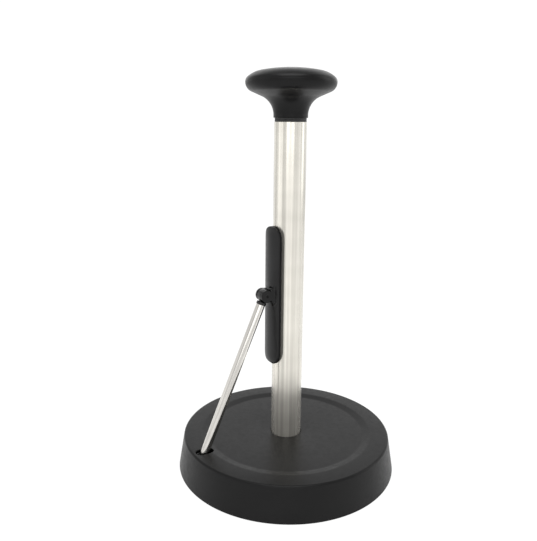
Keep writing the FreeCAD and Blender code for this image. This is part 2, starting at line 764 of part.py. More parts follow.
def make_pin_clips():
    clips = []
    lows = {"near": "-cheek_outside - clip_gap - clip_height", "far": "cheek_outside + clip_gap"}
    for name, low in lows.items():
        ring = across_tube(f"clip_{name}", "clip_radius", "pin_radius + fit_gap", low, f"{low} + clip_height")
        mouth = document.addObject("Part::Box", f"clip_{name}_mouth")
        bind(mouth, "Length", "clip_mouth")
        bind(mouth, "Width", "clip_height + 2 * cut_margin")
        bind(mouth, "Height", "clip_radius + cut_margin")
        bind(mouth, "Placement.Base.x", "-clip_mouth / 2")
        bind(mouth, "Placement.Base.y", f"{low} - cut_margin")
        bind(mouth, "Placement.Base.z", "-clip_radius - cut_margin")
        clips.append(move_to_arm_pin(cut(f"clip_{name}_open", ring, mouth)))
    keep(group("clips", clips), "pin_clips")


def make_spring_spacer():
    low = "-cheek_inside + spacer_play"
    high = "-hub_half_width - spacer_play"
    sleeve = across_tube("spacer", "spacer_radius", "pin_radius + fit_gap", low, high)
    keep(move_to_arm_pin(sleeve), "spring_spacer")


def spring_wire_points():
    """Points along the wire about the Y axis: an end, a bend, the coil, a bend and the other end."""
    radius = size("coil_radius")
    bend = size("wire_bend")
    near_cheek = size("coil_near_cheek")
    near_arm = size("coil_near_arm")
    cheek_end = size("cheek_outside + spring_leg_past_cheek")
    hub_end = size("hub_half_width - spring_leg_in_hub")
    first_angle = -size("coil_first_angle")
    last_angle = 180 - size("arm_lean") - 360 * size("coil_whole_turns")
    bend_angle = math.degrees(bend / radius)
    coil_start = first_angle - bend_angle
    coil_end = last_angle + bend_angle
    coil_steps = round(POINTS_PER_TURN * (coil_start - coil_end) / 360)

    places = []
    for step in range(BEND_POINTS):
        share = step / BEND_POINTS
        places.append((first_angle, cheek_end + (near_cheek + bend - cheek_end) * share))
    for step in range(BEND_POINTS):
        turned = math.pi / 2 * step / BEND_POINTS
        angle = first_angle - bend_angle * (1 - math.cos(turned))
        places.append((angle, near_cheek + bend * (1 - math.sin(turned))))
    for step in range(coil_steps + 1):
        share = step / coil_steps
        angle = coil_start + (coil_end - coil_start) * share
        places.append((angle, near_cheek + (near_arm - near_cheek) * share))
    for step in range(1, BEND_POINTS + 1):
        turned = math.pi / 2 * step / BEND_POINTS
        angle = last_angle + bend_angle * (1 - math.sin(turned))
        places.append((angle, near_arm - bend * (1 - math.cos(turned))))
    for step in range(1, BEND_POINTS + 1):
        share = step / BEND_POINTS
        places.append((last_angle, near_arm - bend + (hub_end - near_arm + bend) * share))

    points = []
    for angle, across_place in places:
        turned = math.radians(angle)
        points.append(FreeCAD.Vector(radius * math.cos(turned), across_place, radius * math.sin(turned)))
    return points


def make_arm_spring():
    """A torsion coil about the arm's pin, its two ends bent sideways into the bracket's cheek and the hub."""
    points = spring_wire_points()
    middle_line = Part.BSplineCurve()
    middle_line.interpolate(points)
    section = Part.makeCircle(size("wire_radius"), points[0], FreeCAD.Vector(0, -1, 0))
    spring = document.addObject("Part::Feature", "torsion_spring")
    spring.Shape = Part.Wire([middle_line.toShape()]).makePipeShell([Part.Wire(section)], True, False)
    keep(move_to_arm_pin(spring), "arm_spring")


# ---- arm ---------------------------------------------------------------------------------------------------


def make_arm_hub():
    barrel = across("hub_barrel", "hub_radius", "-hub_half_width", "hub_half_width")
    spigot = cylinder("hub_spigot", "arm_radius - arm_wall - fit_gap", "0", "arm_start + hub_spigot")
    past_hub = "hub_half_width + cut_margin"
    bore = across("hub_bore", "pin_radius + fit_gap", f"-({past_hub})", past_hub)
    hole_floor = "hub_half_width - spring_hole_in_hub"
    hole = across("hub_spring_hole", "wire_radius + spring_hole_gap", hole_floor, past_hub)
    bind(hole, "Placement.Base.x", "-coil_radius")
    blank = fuse("hub_blank", barrel, spigot)
    keep(lean_with_arm(cut("hub", blank, fuse("hub_holes", bore, hole))), "arm_hub")


def make_arm_tube():
    arm = tube("arm", "arm_radius", "arm_radius - arm_wall", "arm_start", "arm_end")
    keep(lean_with_arm(arm), "arm_tube")


def make_arm_head():
    body = new_body("arm_head")
    spigot = "arm_radius - arm_wall - fit_gap"
    collar_bottom = "arm_end + face_gap"
    collar_top = "arm_end + collar_height"
    turn(
        body,
        "neck",
        [
            ("0", "arm_end - head_spigot"),
            (spigot, "arm_end - head_spigot"),
            (spigot, collar_bottom),
            ("collar_width", collar_bottom),
            ("collar_width", collar_top),
            ("neck_radius", collar_top),
            ("neck_radius", "arm_length"),
            ("0", "arm_length"),
        ],
    )
    tongue_sketch = new_sketch(body, "tongue_outline", UPRIGHT_PLANE)
    draw_circles(tongue_sketch, [("0", "arm_length", "knuckle_radius")])
    pad(body, "tongue", tongue_sketch, "2 * tongue_half_width", both_sides=True)
    bore_sketch = new_sketch(body, "tongue_bore_outline", UPRIGHT_PLANE)
    draw_circles(bore_sketch, [("0", "arm_length", "pad_pin_radius + fit_gap")])
    pocket(body, "tongue_bore", bore_sketch, "4 * tongue_half_width", both_sides=True)
    lean_with_arm(body)


# ---- pad ---------------------------------------------------------------------------------------------------


def pad_outline():
    """The pad's outline seen from the roll: straight sides and nearly round ends."""
    side = "pad_width / 2"
    inner = "(pad_width / 2 - pad_corner)"
    low = "(pad_middle - pad_length / 2)"
    high = "(pad_middle + pad_length / 2)"
    return [
        (f"-{side}", f"{low} + pad_corner", "pad_corner", LEFT),
        (f"-{inner}", low),
        (inner, low, "pad_corner", LEFT),
        (side, f"{low} + pad_corner"),
        (side, f"{high} - pad_corner", "pad_corner", LEFT),
        (inner, high),
        (f"-{inner}", high, "pad_corner", LEFT),
        (f"-{side}", f"{high} - pad_corner"),
    ]


def make_pad_grip():
    body = new_body("pad_grip")
    sketch = new_sketch(body, "grip_outline", END_PLANE, "-pad_seam + face_gap")
    draw_outline(sketch, pad_outline())
    pad(body, "grip", sketch, "pad_seam - face_gap - pad_face")


def make_pad_shell():
    body = new_body("pad_shell")
    outline = new_sketch(body, "shell_outline", END_PLANE, "-pad_crest")
    draw_outline(outline, pad_outline())
    pad(body, "shell_blank", outline, "pad_crest - pad_seam")

    sag = "(pad_crest - pad_seam - pad_edge)"
    dome_radius = f"((pad_width / 2) ^ 2 + {sag} ^ 2) / (2 * {sag})"
    dome_sketch = new_sketch(body, "dome_outline", FLOOR_PLANE, "pad_middle")
    edge = "-pad_crest + " + sag
    draw_outline(
        dome_sketch,
        [
            (edge, "-pad_width / 2", dome_radius, RIGHT),
            ("-pad_crest", "0", dome_radius, RIGHT),
            (edge, "pad_width / 2"),
            (edge, "pad_width"),
            ("-pad_crest - cut_margin", "pad_width"),
            ("-pad_crest - cut_margin", "-pad_width"),
            (edge, "-pad_width"),
        ],
    )
    pocket(body, "dome", dome_sketch, "pad_length + 2 * cut_margin", both_sides=True)

    for name, way in (("top", 1), ("bottom", -1)):
        sketch = new_sketch(body, f"{name}_end_outline", UPRIGHT_PLANE)
        end = f"(pad_middle + {way} * pad_length / 2)"
        draw_outline(
            sketch,
            [
                (
                    "-pad_crest",
                    f"{end} - {way} * 2 * pad_end_rounding",
                    "2.5 * pad_end_rounding",
                    RIGHT if way > 0 else LEFT,
                ),
                ("-pad_crest + pad_end_rounding", end),
                ("-pad_crest + pad_end_rounding", f"{end} + {way} * cut_margin"),
                ("-pad_crest - cut_margin", f"{end} + {way} * cut_margin"),
                ("-pad_crest - cut_margin", f"{end} - {way} * 2 * pad_end_rounding"),
            ],
        )
        pocket(body, f"{name}_end", sketch, "2 * pad_width", both_sides=True)

    ear_sketch = new_sketch(body, "ear_outline", UPRIGHT_PLANE)
    root = "-pad_seam - ear_root"
    draw_outline(
        ear_sketch,
        [
            (f"-{PAD_PIN_REACH}", f"{PAD_PIN_HEIGHT} + knuckle_radius", "knuckle_radius", LEFT),
            (f"-{PAD_PIN_REACH} - knuckle_radius", PAD_PIN_HEIGHT, "knuckle_radius", LEFT),
            (f"-{PAD_PIN_REACH}", f"{PAD_PIN_HEIGHT} - knuckle_radius"),
            (root, f"{PAD_PIN_HEIGHT} - knuckle_radius - flare_height / 2"),
            (root, f"{PAD_PIN_HEIGHT} + knuckle_radius + flare_height / 2"),
        ],
    )
    pad(body, "ears", ear_sketch, "2 * ear_outside", both_sides=True)

    flare = body.newObject("PartDesign::AdditiveLoft", "ear_flare")
    sections = []
    for name, reach, half_width, half_height in (
        ("flare_root", "pad_seam + ear_root", "ear_outside + flare_width", "knuckle_radius + flare_height"),
        ("flare_middle", "pad_crest", "ear_outside + flare_width / 2", "knuckle_radius + flare_height / 2"),
        ("flare_tip", "pad_crest + flare_reach", "ear_outside", "knuckle_radius - flare_inset"),
    ):
        section = new_sketch(body, name, END_PLANE, f"-({reach})")
        draw_outline(
            section,
            [
                (f"-({half_width})", f"{PAD_PIN_HEIGHT} - ({half_height})"),
                (half_width, f"{PAD_PIN_HEIGHT} - ({half_height})"),
                (half_width, f"{PAD_PIN_HEIGHT} + ({half_height})"),
                (f"-({half_width})", f"{PAD_PIN_HEIGHT} + ({half_height})"),
            ],
        )
        sections.append(section)
    flare.Profile = sections[0]
    flare.Sections = sections[1:]
    document.recompute()

    gap_sketch = new_sketch(body, "tongue_gap_outline", UPRIGHT_PLANE)
    draw_outline(
        gap_sketch,
        [
            ("-pad_crest - 2 * knuckle_radius - cut_margin", f"{PAD_PIN_HEIGHT} - 2 * knuckle_radius"),
            ("-pad_crest - ear_gap_floor", f"{PAD_PIN_HEIGHT} - 2 * knuckle_radius"),
            ("-pad_crest - ear_gap_floor", f"{PAD_PIN_HEIGHT} + 2 * knuckle_radius"),
            ("-pad_crest - 2 * knuckle_radius - cut_margin", f"{PAD_PIN_HEIGHT} + 2 * knuckle_radius"),
        ],
    )
    pocket(body, "tongue_gap", gap_sketch, "2 * ear_inside", both_sides=True)
    well_sketch = new_sketch(body, "tongue_well_outline", UPRIGHT_PLANE)
    draw_circles(well_sketch, [(f"-{PAD_PIN_REACH}", PAD_PIN_HEIGHT, "knuckle_radius + tongue_gap")])
    pocket(body, "tongue_well", well_sketch, "2 * ear_inside", both_sides=True)
    bore_sketch = new_sketch(body, "pin_bore_outline", UPRIGHT_PLANE)
    draw_circles(bore_sketch, [(f"-{PAD_PIN_REACH}", PAD_PIN_HEIGHT, "pad_pin_radius + fit_gap")])
    pocket(body, "pin_bore", bore_sketch, "3 * ear_outside", both_sides=True)


def make_pad_pin():
    keep(move_to_pad_pin(across("pad_axle", "pad_pin_radius", "-ear_outside", "ear_outside")), "pad_pin")


# ---- build, check and write --------------------------------------------------------------------------------


def build():
    make_base_cover()
    make_base_weight()
    make_base_plate()
    make_foot_ring()
    make_base_screws()
    make_pole()
    make_pole_top_insert()
    make_knob_washer()
    make_knob_body()
    make_knob_cap()
    make_knob_stud()
    make_knob_screw()
    make_pivot_bracket()
    make_bracket_screws()
    make_arm_pivot_pin()
    make_pin_clips()
    make_arm_spring()
    make_spring_spacer()
    make_arm_hub()
    make_arm_tube()
    make_arm_head()
    make_pad_shell()
    make_pad_grip()
    make_pad_pin()
    document.recompute()


def check():
    for item in document.Objects:
        if "Invalid" in item.State or "Error" in item.State:
            raise RuntimeError(f"{item.Label} failed: {item.State}")
    for piece in pieces:
        if piece.Shape.isNull() or not piece.Shape.isValid():
            raise RuntimeError(f"{piece.Label} has no valid shape")


def write():
    os.makedirs("parts", exist_ok=True)
    for piece in pieces:
        piece.Shape.exportStep(f"parts/{piece.Label}.step")
        box = piece.Shape.optimalBoundingBox()
        low = f"{box.XMin:.2f} {box.YMin:.2f} {box.ZMin:.2f}"
        high = f"{box.XMax:.2f} {box.YMax:.2f} {box.ZMax:.2f}"
        print(f"{piece.Label}: {len(piece.Shape.Solids)} solid(s), {low} to {high}")


fill_sheet()
build()
check()
write()
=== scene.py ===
"""The looks of the paper towel holder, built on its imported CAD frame: camera, light, meshes and materials."""

import json
import math

import bmesh
import bpy
from mathutils import Matrix, Vector


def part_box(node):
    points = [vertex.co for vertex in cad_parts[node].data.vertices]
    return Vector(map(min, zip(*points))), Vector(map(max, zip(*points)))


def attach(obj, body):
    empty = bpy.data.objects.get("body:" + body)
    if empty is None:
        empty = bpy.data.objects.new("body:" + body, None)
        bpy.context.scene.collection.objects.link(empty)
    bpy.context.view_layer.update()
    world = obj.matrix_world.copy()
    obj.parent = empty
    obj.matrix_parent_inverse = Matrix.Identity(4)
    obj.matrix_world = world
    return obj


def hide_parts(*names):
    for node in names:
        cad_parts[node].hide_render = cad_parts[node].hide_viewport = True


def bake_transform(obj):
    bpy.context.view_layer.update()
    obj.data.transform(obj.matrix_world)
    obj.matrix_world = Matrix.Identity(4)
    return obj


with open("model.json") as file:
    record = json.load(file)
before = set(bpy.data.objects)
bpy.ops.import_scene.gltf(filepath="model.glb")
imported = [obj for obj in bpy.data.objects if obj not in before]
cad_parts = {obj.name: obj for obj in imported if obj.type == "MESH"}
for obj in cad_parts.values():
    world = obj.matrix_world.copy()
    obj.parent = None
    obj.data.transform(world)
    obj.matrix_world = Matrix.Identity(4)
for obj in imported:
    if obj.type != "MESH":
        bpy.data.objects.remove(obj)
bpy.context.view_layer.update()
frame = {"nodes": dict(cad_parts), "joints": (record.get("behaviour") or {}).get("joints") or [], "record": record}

MM = 0.001
TURN = 2 * math.pi
ROUND_SIDES = 224
FINE_SIDES = 96
SMOOTH_ANGLE = math.radians(32)

# ---- places and sizes read from the frame ------------------------------------------------------------------

joints = {joint["name"]: joint for joint in frame["joints"]}
ARM_PIN = Vector(joints["arm_swing"]["pos_m"])
PAD_PIN = Vector(joints["pad_tilt"]["pos_m"])
ARM_AXIS = (PAD_PIN - ARM_PIN).normalized()
ARM_LENGTH = (PAD_PIN - ARM_PIN).length
TO_ARM = Matrix.Translation(ARM_PIN) @ Vector((0, 0, 1)).rotation_difference(ARM_AXIS).to_matrix().to_4x4()

COVER_LOW, COVER_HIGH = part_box("base_cover")
WEIGHT_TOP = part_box("base_weight")[1].z
POLE_LOW, POLE_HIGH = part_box("pole_tube")
FOOT_LOW, FOOT_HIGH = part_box("foot_ring")
WASHER_LOW, WASHER_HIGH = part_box("knob_washer")
BUSH_LOW, BUSH_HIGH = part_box("pole_top_insert")
STUD_LOW, STUD_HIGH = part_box("knob_stud")
KNOB_LOW, KNOB_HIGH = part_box("knob_body")
CAP_LOW, CAP_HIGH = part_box("knob_cap")
SHELL_LOW, SHELL_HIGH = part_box("pad_shell")
GRIP_LOW, GRIP_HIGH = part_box("pad_grip")

# ---- outlines ----------------------------------------------------------------------------------------------


def rounded(corners, steps=6):
    """A closed outline through corners (across, up) or (across, up, radius), the latter rounded."""
    outline = []
    for number, corner in enumerate(corners):
        here = Vector(corner[:2])
        radius = corner[2] if len(corner) > 2 else 0
        if radius <= 0:
            outline.append(here)
            continue
        back = (Vector(corners[number - 1][:2]) - here).normalized()
        ahead = (Vector(corners[(number + 1) % len(corners)][:2]) - here).normalized()
        half = math.acos(max(-1, min(1, back.dot(ahead)))) / 2
        centre = here + (back + ahead).normalized() * (radius / math.sin(half))
        first = here + back * (radius / math.tan(half)) - centre
        last = here + ahead * (radius / math.tan(half)) - centre
        sweep = first.angle_signed(last)
        for step in range(steps + 1):
            turned = Matrix.Rotation(-sweep * step / steps, 2) @ first
            outline.append(centre + turned)
    return outline


def arc(centre, radius, first, last, steps):
    """Points on a circle between two angles in degrees, counted from the first axis."""
    points = []
    for step in range(steps + 1):
        angle = math.radians(first + (last - first) * step / steps)
        points.append(Vector((centre[0] + radius * math.cos(angle), centre[1] + radius * math.sin(angle))))
    return points


# ---- meshes ------------------------------------------------------------------------------------------------


def to_object(name, mesh_builder):
    """Turns a bmesh into an object with outward normals and smooth shading."""
    bmesh.ops.remove_doubles(mesh_builder, verts=mesh_builder.verts, dist=1e-7)
    bmesh.ops.recalc_face_normals(mesh_builder, faces=mesh_builder.faces)
    mesh = bpy.data.meshes.new(name)
    mesh_builder.to_mesh(mesh)
    mesh_builder.free()
    piece = bpy.data.objects.new(name, mesh)
    bpy.context.scene.collection.objects.link(piece)
    shade(piece)
    return piece


def shade(piece, angle=SMOOTH_ANGLE):
    piece.data.shade_smooth()
    piece.data.set_sharp_from_angle(angle=angle)


def loft(name, loops, closed=False):
    """A solid through loops of as many points each; closed joins the last loop to the first."""
    builder = bmesh.new()
    rows = [[builder.verts.new(point) for point in loop] for loop in loops]
    count = len(rows[0])
    pairs = list(zip(rows, rows[1:]))
    if closed:
        pairs.append((rows[-1], rows[0]))
    for low, high in pairs:
        for number in range(count):
            after = (number + 1) % count
            builder.faces.new((low[number], low[after], high[after], high[number]))
    if not closed:
        builder.faces.new(rows[0])
        builder.faces.new(rows[-1])
    return to_object(name, builder)


def lathe(name, outline, sides=ROUND_SIDES, swell=None):
    """Turns a closed outline of (radius, height) about Z. swell(angle, radius, height) changes the radius."""
    builder = bmesh.new()
    rows = []
    for radius, height in outline:
        if radius < 1e-9:
            rows.append([builder.verts.new((0, 0, height))])
            continue
        row = []
        for side in range(sides):
            angle = TURN * side / sides
            reach = radius if swell is None else swell(angle, radius, height)
            row.append(builder.verts.new((reach * math.cos(angle), reach * math.sin(angle), height)))
        rows.append(row)
    for number, low in enumerate(rows):
        high = rows[(number + 1) % len(rows)]
        if len(low) == 1 and len(high) == 1:
            continue
        for side in range(sides):
            after = (side + 1) % sides
            if len(low) == 1:
                builder.faces.new((low[0], high[after], high[side]))
            elif len(high) == 1:
                builder.faces.new((low[side], low[after], high[0]))
            else:
                builder.faces.new((low[side], low[after], high[after], high[side]))
    return to_object(name, builder)


def place(piece, matrix):
    piece.data.transform(matrix)
    return piece


def across(centre):
    """Lays a piece that was turned about Z along Y, centred on a place."""
    return Matrix.Translation(centre) @ Matrix.Rotation(-math.pi / 2, 4, "X")


def baked(piece):
    """Applies the piece's modifiers to its mesh."""
    bpy.context.view_layer.update()
    evaluated = piece.evaluated_get(bpy.context.evaluated_depsgraph_get())
    mesh = bpy.data.meshes.new_from_object(evaluated)
    piece.modifiers.clear()
    old = piece.data
    piece.data = mesh
    bpy.data.meshes.remove(old)
    shade(piece)
    return piece


def combine(piece, operation, *others):
    """Joins other pieces to this one, or cuts them out of it, and removes them."""
    for other in others:
        step = piece.modifiers.new(operation.lower(), "BOOLEAN")
        step.operation = operation
        step.solver = "EXACT"
        step.object = other
    baked(piece)
    for other in others:
        bpy.data.objects.remove(other)
    return piece


def remeshed(piece, voxel, passes):
    """Rebuilds the piece's mesh in small even faces and melts its corners."""
    step = piece.modifiers.new("remesh", "REMESH")
    step.mode = "VOXEL"
    step.voxel_size = voxel
    melt = piece.modifiers.new("melt", "SMOOTH")
    melt.factor = 0.5
    melt.iterations = passes
    return baked(piece)


# ---- material nodes ----------------------------------------------------------------------------------------


class Paint:
    """A material under construction: short calls for the few node kinds that these finishes need."""

    def __init__(self, name):
        self.material = bpy.data.materials.new(name)
        self.material.use_nodes = True
        self.tree = self.material.node_tree
        self.shader = self.tree.nodes["Principled BSDF"]
        self.place = self.tree.nodes.new("ShaderNodeTexCoord").outputs["Object"]

    def node(self, kind, **values):
        made = self.tree.nodes.new(kind)
        for key, value in values.items():
            setattr(made, key, value)
        return made

    def link(self, source, target):
        self.tree.links.new(source, target)

    def set(self, **values):
        """Sets the shader's own sockets, named with _ for a space."""
        for key, value in values.items():
            self.shader.inputs[key.replace("_", " ")].default_value = value

    def stretched(self, scale):
        """The object's coordinates, scaled by axis."""
        mapping = self.node("ShaderNodeMapping")
        mapping.inputs["Scale"].default_value = scale
        self.link(self.place, mapping.inputs["Vector"])
        return mapping.outputs["Vector"]

    def noise(self, scale, detail=3.0, stretch=None, distortion=0.0):
        made = self.node("ShaderNodeTexNoise")
        made.inputs["Scale"].default_value = scale
        made.inputs["Detail"].default_value = detail
        made.inputs["Distortion"].default_value = distortion
        self.link(self.stretched(stretch) if stretch else self.place, made.inputs["Vector"])
        return made.outputs["Fac"]

    def ramp(self, source, low, high, start=0.3, end=0.7):
        """Turns a 0 to 1 value into a blend between two colours."""
        made = self.node("ShaderNodeValToRGB")
        made.color_ramp.elements[0].position = start
        made.color_ramp.elements[1].position = end
        made.color_ramp.elements[0].color = (*low, 1)
        made.color_ramp.elements[1].color = (*high, 1)
        self.link(source, made.inputs["Fac"])
        return made.outputs["Color"]

    def span(self, source, low, high, start=0.3, end=0.7):
        """Turns a 0 to 1 value into a number between two numbers."""
        made = self.node("ShaderNodeMapRange")
        made.inputs["From Min"].default_value = start
        made.inputs["From Max"].default_value = end
        made.inputs["To Min"].default_value = low
        made.inputs["To Max"].default_value = high
        self.link(source, made.inputs["Value"])
        return made.outputs["Result"]

    def plus(self, first, second):
        made = self.node("ShaderNodeMath", operation="ADD")
        self.link(first, made.inputs[0])
        self.link(second, made.inputs[1])
        return made.outputs["Value"]

    def times(self, first, second):
        made = self.node("ShaderNodeMath", operation="MULTIPLY")
        self.link(first, made.inputs[0])
        self.link(second, made.inputs[1])
        return made.outputs["Value"]

    def beyond(self, place, radius):
        """0 within that distance of a place, 1 a little farther out."""
        reach = self.node("ShaderNodeVectorMath", operation="DISTANCE")
        reach.inputs[1].default_value = place
        self.link(self.place, reach.inputs[0])
        return self.span(reach.outputs["Value"], 0, 1, radius, radius + 0.6 * MM)

    def bump(self, *layers):
        """Stacks (height, depth in metres) layers and sends them to the shader's normal."""
        normal = None
        for height, depth in layers:
            made = self.node("ShaderNodeBump")
            made.inputs["Strength"].default_value = 1.0
            made.inputs["Distance"].default_value = depth
            self.link(height, made.inputs["Height"])
            if normal is not None:
                self.link(normal, made.inputs["Normal"])
            normal = made.outputs["Normal"]
        self.link(normal, self.shader.inputs["Normal"])

    def colour(self, output):
        self.link(output, self.shader.inputs["Base Color"])

    def roughness(self, output):
        self.link(output, self.shader.inputs["Roughness"])


def black_plastic(name, dark, light, rough, grain, grain_depth, specular=0.5, glossy_knuckle_shade=None):
    """Moulded black plastic: a fine grain, faint clouding, and small rubbed patches.

    rough is the (lowest, highest) roughness, and grain_depth is in metres. The last argument is (place, radius)
    for a round part of the surface that is glossy and darkened with painted shade round the knuckle.
    """
    paint = Paint(name)
    cloud = paint.noise(38, 4)
    rubbed = paint.noise(240, 5, distortion=0.6)
    fine = paint.noise(grain, 2)
    shade_of_black = paint.plus(paint.span(cloud, 0, 0.6), paint.span(fine, 0, 0.4))
    roughness = paint.plus(paint.span(rubbed, *rough), paint.span(cloud, 0, 0.04))
    if glossy_knuckle_shade:
        # Painted shade: within the radius round the knuckle the colour drops to its darkest, along with the lower
        # roughness.
        away_from_knuckle_shade = paint.beyond(*glossy_knuckle_shade)
        shade_of_black = paint.times(shade_of_black, away_from_knuckle_shade)
        roughness = paint.times(roughness, paint.span(away_from_knuckle_shade, 0.55, 1, 0, 1))
    paint.colour(paint.ramp(shade_of_black, dark, light, 0.1, 0.9))
    paint.roughness(roughness)
    paint.bump((fine, grain_depth), (rubbed, grain_depth * 0.6))
    paint.set(Specular_IOR_Level=specular, IOR=1.49)
    return paint.material


def drawn_steel(name, dark, light, rough, metallic):
    """Stainless tube, buffed round its girth, with long faint streaks down its length."""
    paint = Paint(name)
    rings = paint.noise(1.0, 1, stretch=(9, 9, 60))
    streaks = paint.noise(1.0, 2, stretch=(330, 330, 3))
    smudge = paint.noise(26, 4, distortion=0.8)
    tone = paint.plus(paint.span(rings, 0, 0.2), paint.span(streaks, 0, 0.8, 0.35, 0.65))
    paint.colour(paint.ramp(tone, dark, light, 0.1, 0.9))
    paint.roughness(paint.span(smudge, *rough))
    paint.bump((streaks, 0.00001))
    paint.set(Metallic=metallic, Anisotropic=1.0, Anisotropic_Rotation=0.25)
    tangent = paint.node("ShaderNodeTangent", direction_type="RADIAL", axis="Z")
    paint.link(tangent.outputs["Tangent"], paint.shader.inputs["Tangent"])
    return paint.material


def plated_steel(name, dark, light, rough):
    """Plated steel: patchy sheen over a finely pitted surface; rough is the lowest roughness."""
    paint = Paint(name)
    patch = paint.noise(420, 4, distortion=1.2)
    pits = paint.noise(5200, 2)
    paint.colour(paint.ramp(patch, dark, light))
    paint.roughness(paint.span(patch, rough, rough + 0.14))
    paint.bump((pits, 0.000006), (patch, 0.00001))
    paint.set(Metallic=1.0)
    return paint.material


def cast_iron(name):
    paint = Paint(name)
    sand = paint.noise(1500, 5)
    stain = paint.noise(60, 4)
    paint.colour(paint.ramp(stain, (0.035, 0.034, 0.033), (0.075, 0.07, 0.066)))
    paint.roughness(paint.span(sand, 0.62, 0.85))
    paint.bump((sand, 0.00012), (stain, 0.0002))
    paint.set(Metallic=0.6)
    return paint.material


def soft_rubber(name, dark, light):
    paint = Paint(name)
    pores = paint.noise(2600, 3)
    bloom = paint.noise(90, 4)
    paint.colour(paint.ramp(bloom, dark, light))
    paint.roughness(paint.span(pores, 0.58, 0.78))
    paint.bump((pores, 0.00003), (bloom, 0.00002))
    paint.set(Specular_IOR_Level=0.15)
    return paint.material


materials = {
    "cover_plastic": black_plastic(
        "cover_plastic",
        dark=(0.003, 0.003, 0.0031),
        light=(0.0055, 0.0054, 0.0055),
        rough=(0.30, 0.40),
        grain=2600,
        grain_depth=0.000022,
        specular=0.22,
    ),
    "knob_plastic": black_plastic(
        "knob_plastic",
        dark=(0.004, 0.004, 0.0041),
        light=(0.0065, 0.0065, 0.0067),
        rough=(0.26, 0.34),
        grain=3200,
        grain_depth=0.000010,
        specular=0.2,
    ),
    "knuckle_plastic": black_plastic(
        "knuckle_plastic",
        dark=(0.003, 0.003, 0.003),
        light=(0.006, 0.006, 0.0061),
        rough=(0.16, 0.24),
        grain=3600,
        grain_depth=0.000004,
    ),
    "black_nylon": black_plastic(
        "black_nylon",
        dark=(0.008, 0.008, 0.008),
        light=(0.013, 0.013, 0.013),
        rough=(0.42, 0.52),
        grain=2400,
        grain_depth=0.000016,
    ),
    "pad_plastic": black_plastic(
        "pad_plastic",
        dark=(0.0015, 0.0015, 0.0016),
        light=(0.009, 0.009, 0.0094),
        rough=(0.28, 0.36),
        grain=3000,
        grain_depth=0.000012,
        specular=0.3,
        # Painted shade round the pad's knuckle: darker and glossier within 12 mm of the pin.
        glossy_knuckle_shade=(PAD_PIN, 12 * MM),
    ),
    "pad_rubber": soft_rubber("pad_rubber", (0.003, 0.003, 0.003), (0.006, 0.006, 0.006)),
    "foot_rubber": soft_rubber("foot_rubber", (0.010, 0.010, 0.010), (0.018, 0.018, 0.018)),
    "stainless": drawn_steel(
        "stainless",
        dark=(0.62, 0.60, 0.54),
        light=(0.92, 0.885, 0.805),
        rough=(0.14, 0.17),
        metallic=0.72,
    ),
    "bright_stainless": drawn_steel(
        "bright_stainless",
        dark=(0.58, 0.56, 0.53),
        light=(0.88, 0.86, 0.81),
        rough=(0.09, 0.12),
        metallic=1.0,
    ),
    "fastener_steel": plated_steel("fastener_steel", (0.52, 0.52, 0.50), (0.66, 0.65, 0.62), 0.28),
    "plate_steel": plated_steel("plate_steel", (0.46, 0.46, 0.45), (0.60, 0.60, 0.58), 0.34),
    "black_steel": plated_steel("black_steel", (0.010, 0.010, 0.010), (0.022, 0.022, 0.022), 0.30),
    "spring_steel": plated_steel("spring_steel", (0.34, 0.34, 0.34), (0.48, 0.48, 0.48), 0.26),
    "casting": cast_iron("casting"),
}


def stand_in(piece, node, body, slot, finish=None):
    """Puts a finished piece in place of its CAD node, on its body; finish is for a look unlike its slot's."""
    piece.data.materials.clear()
    piece.data.materials.append(materials[finish or slot])
    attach(piece, body)
    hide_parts(node)
    return piece


# ---- camera, floor and light -------------------------------------------------------------------------------


OBJECT_MIDDLE = Vector((0, 0, 0.15))
FLOOR_RADIUS = 9


def make_camera():
    """A camera beside the object, a little turned from the pole; its bearing is counted about Z from +X."""
    camera = bpy.data.objects.new("camera", bpy.data.cameras.new("camera"))
    bpy.context.scene.collection.objects.link(camera)
    distance, height = 0.5264, 0.3145
    bearing = math.radians(237.45)
    yaw, pitch, roll = math.radians(1.933), math.radians(-13.565), math.radians(0.456)
    heading = bearing - math.pi + yaw
    camera.location = (distance * math.cos(bearing), distance * math.sin(bearing), height)
    turned = Matrix.Rotation(heading - math.pi / 2, 4, "Z") @ Matrix.Rotation(math.pi / 2 + pitch, 4, "X")
    turned = turned @ Matrix.Rotation(roll, 4, "Z")
    camera.rotation_euler = turned.to_euler()
    camera.data.sensor_width = 36
    camera.data.lens = 40.13
    camera.data.clip_end = 50
    bpy.context.scene.camera = camera


def seen_as_white(tree, surface, white, share):
    """Mixes a plain white glow into a surface or sky for what the camera sees directly."""
    nodes, links = tree.nodes, tree.links
    glow = nodes.new("ShaderNodeEmission")
    glow.inputs["Color"].default_value = (white, white, white, 1)
    amount = nodes.new("ShaderNodeMath")
    amount.operation = "MULTIPLY"
    amount.inputs[1].default_value = share
    links.new(nodes.new("ShaderNodeLightPath").outputs["Is Camera Ray"], amount.inputs[0])
    choice = nodes.new("ShaderNodeMixShader")
    links.new(amount.outputs["Value"], choice.inputs["Fac"])
    links.new(surface, choice.inputs[1])
    links.new(glow.outputs["Emission"], choice.inputs[2])
    return choice.outputs["Shader"]


def make_floor():
    """A pale sheet under the object; the camera sees it nearly evenly white."""
    builder = bmesh.new()
    bmesh.ops.create_circle(builder, cap_ends=True, radius=FLOOR_RADIUS, segments=64)
    floor = to_object("floor", builder)
    paint = Paint("floor_paper")
    paint.colour(paint.ramp(paint.noise(3, 3), (0.80, 0.80, 0.80), (0.82, 0.82, 0.82)))
    paint.set(Roughness=0.9, Specular_IOR_Level=0.0, Emission_Color=(1, 1, 1, 1), Emission_Strength=0.2)
    output = paint.tree.nodes["Material Output"]
    paint.link(seen_as_white(paint.tree, paint.shader.outputs["BSDF"], 1.07, 0.9), output.inputs["Surface"])
    floor.data.materials.append(paint.material)


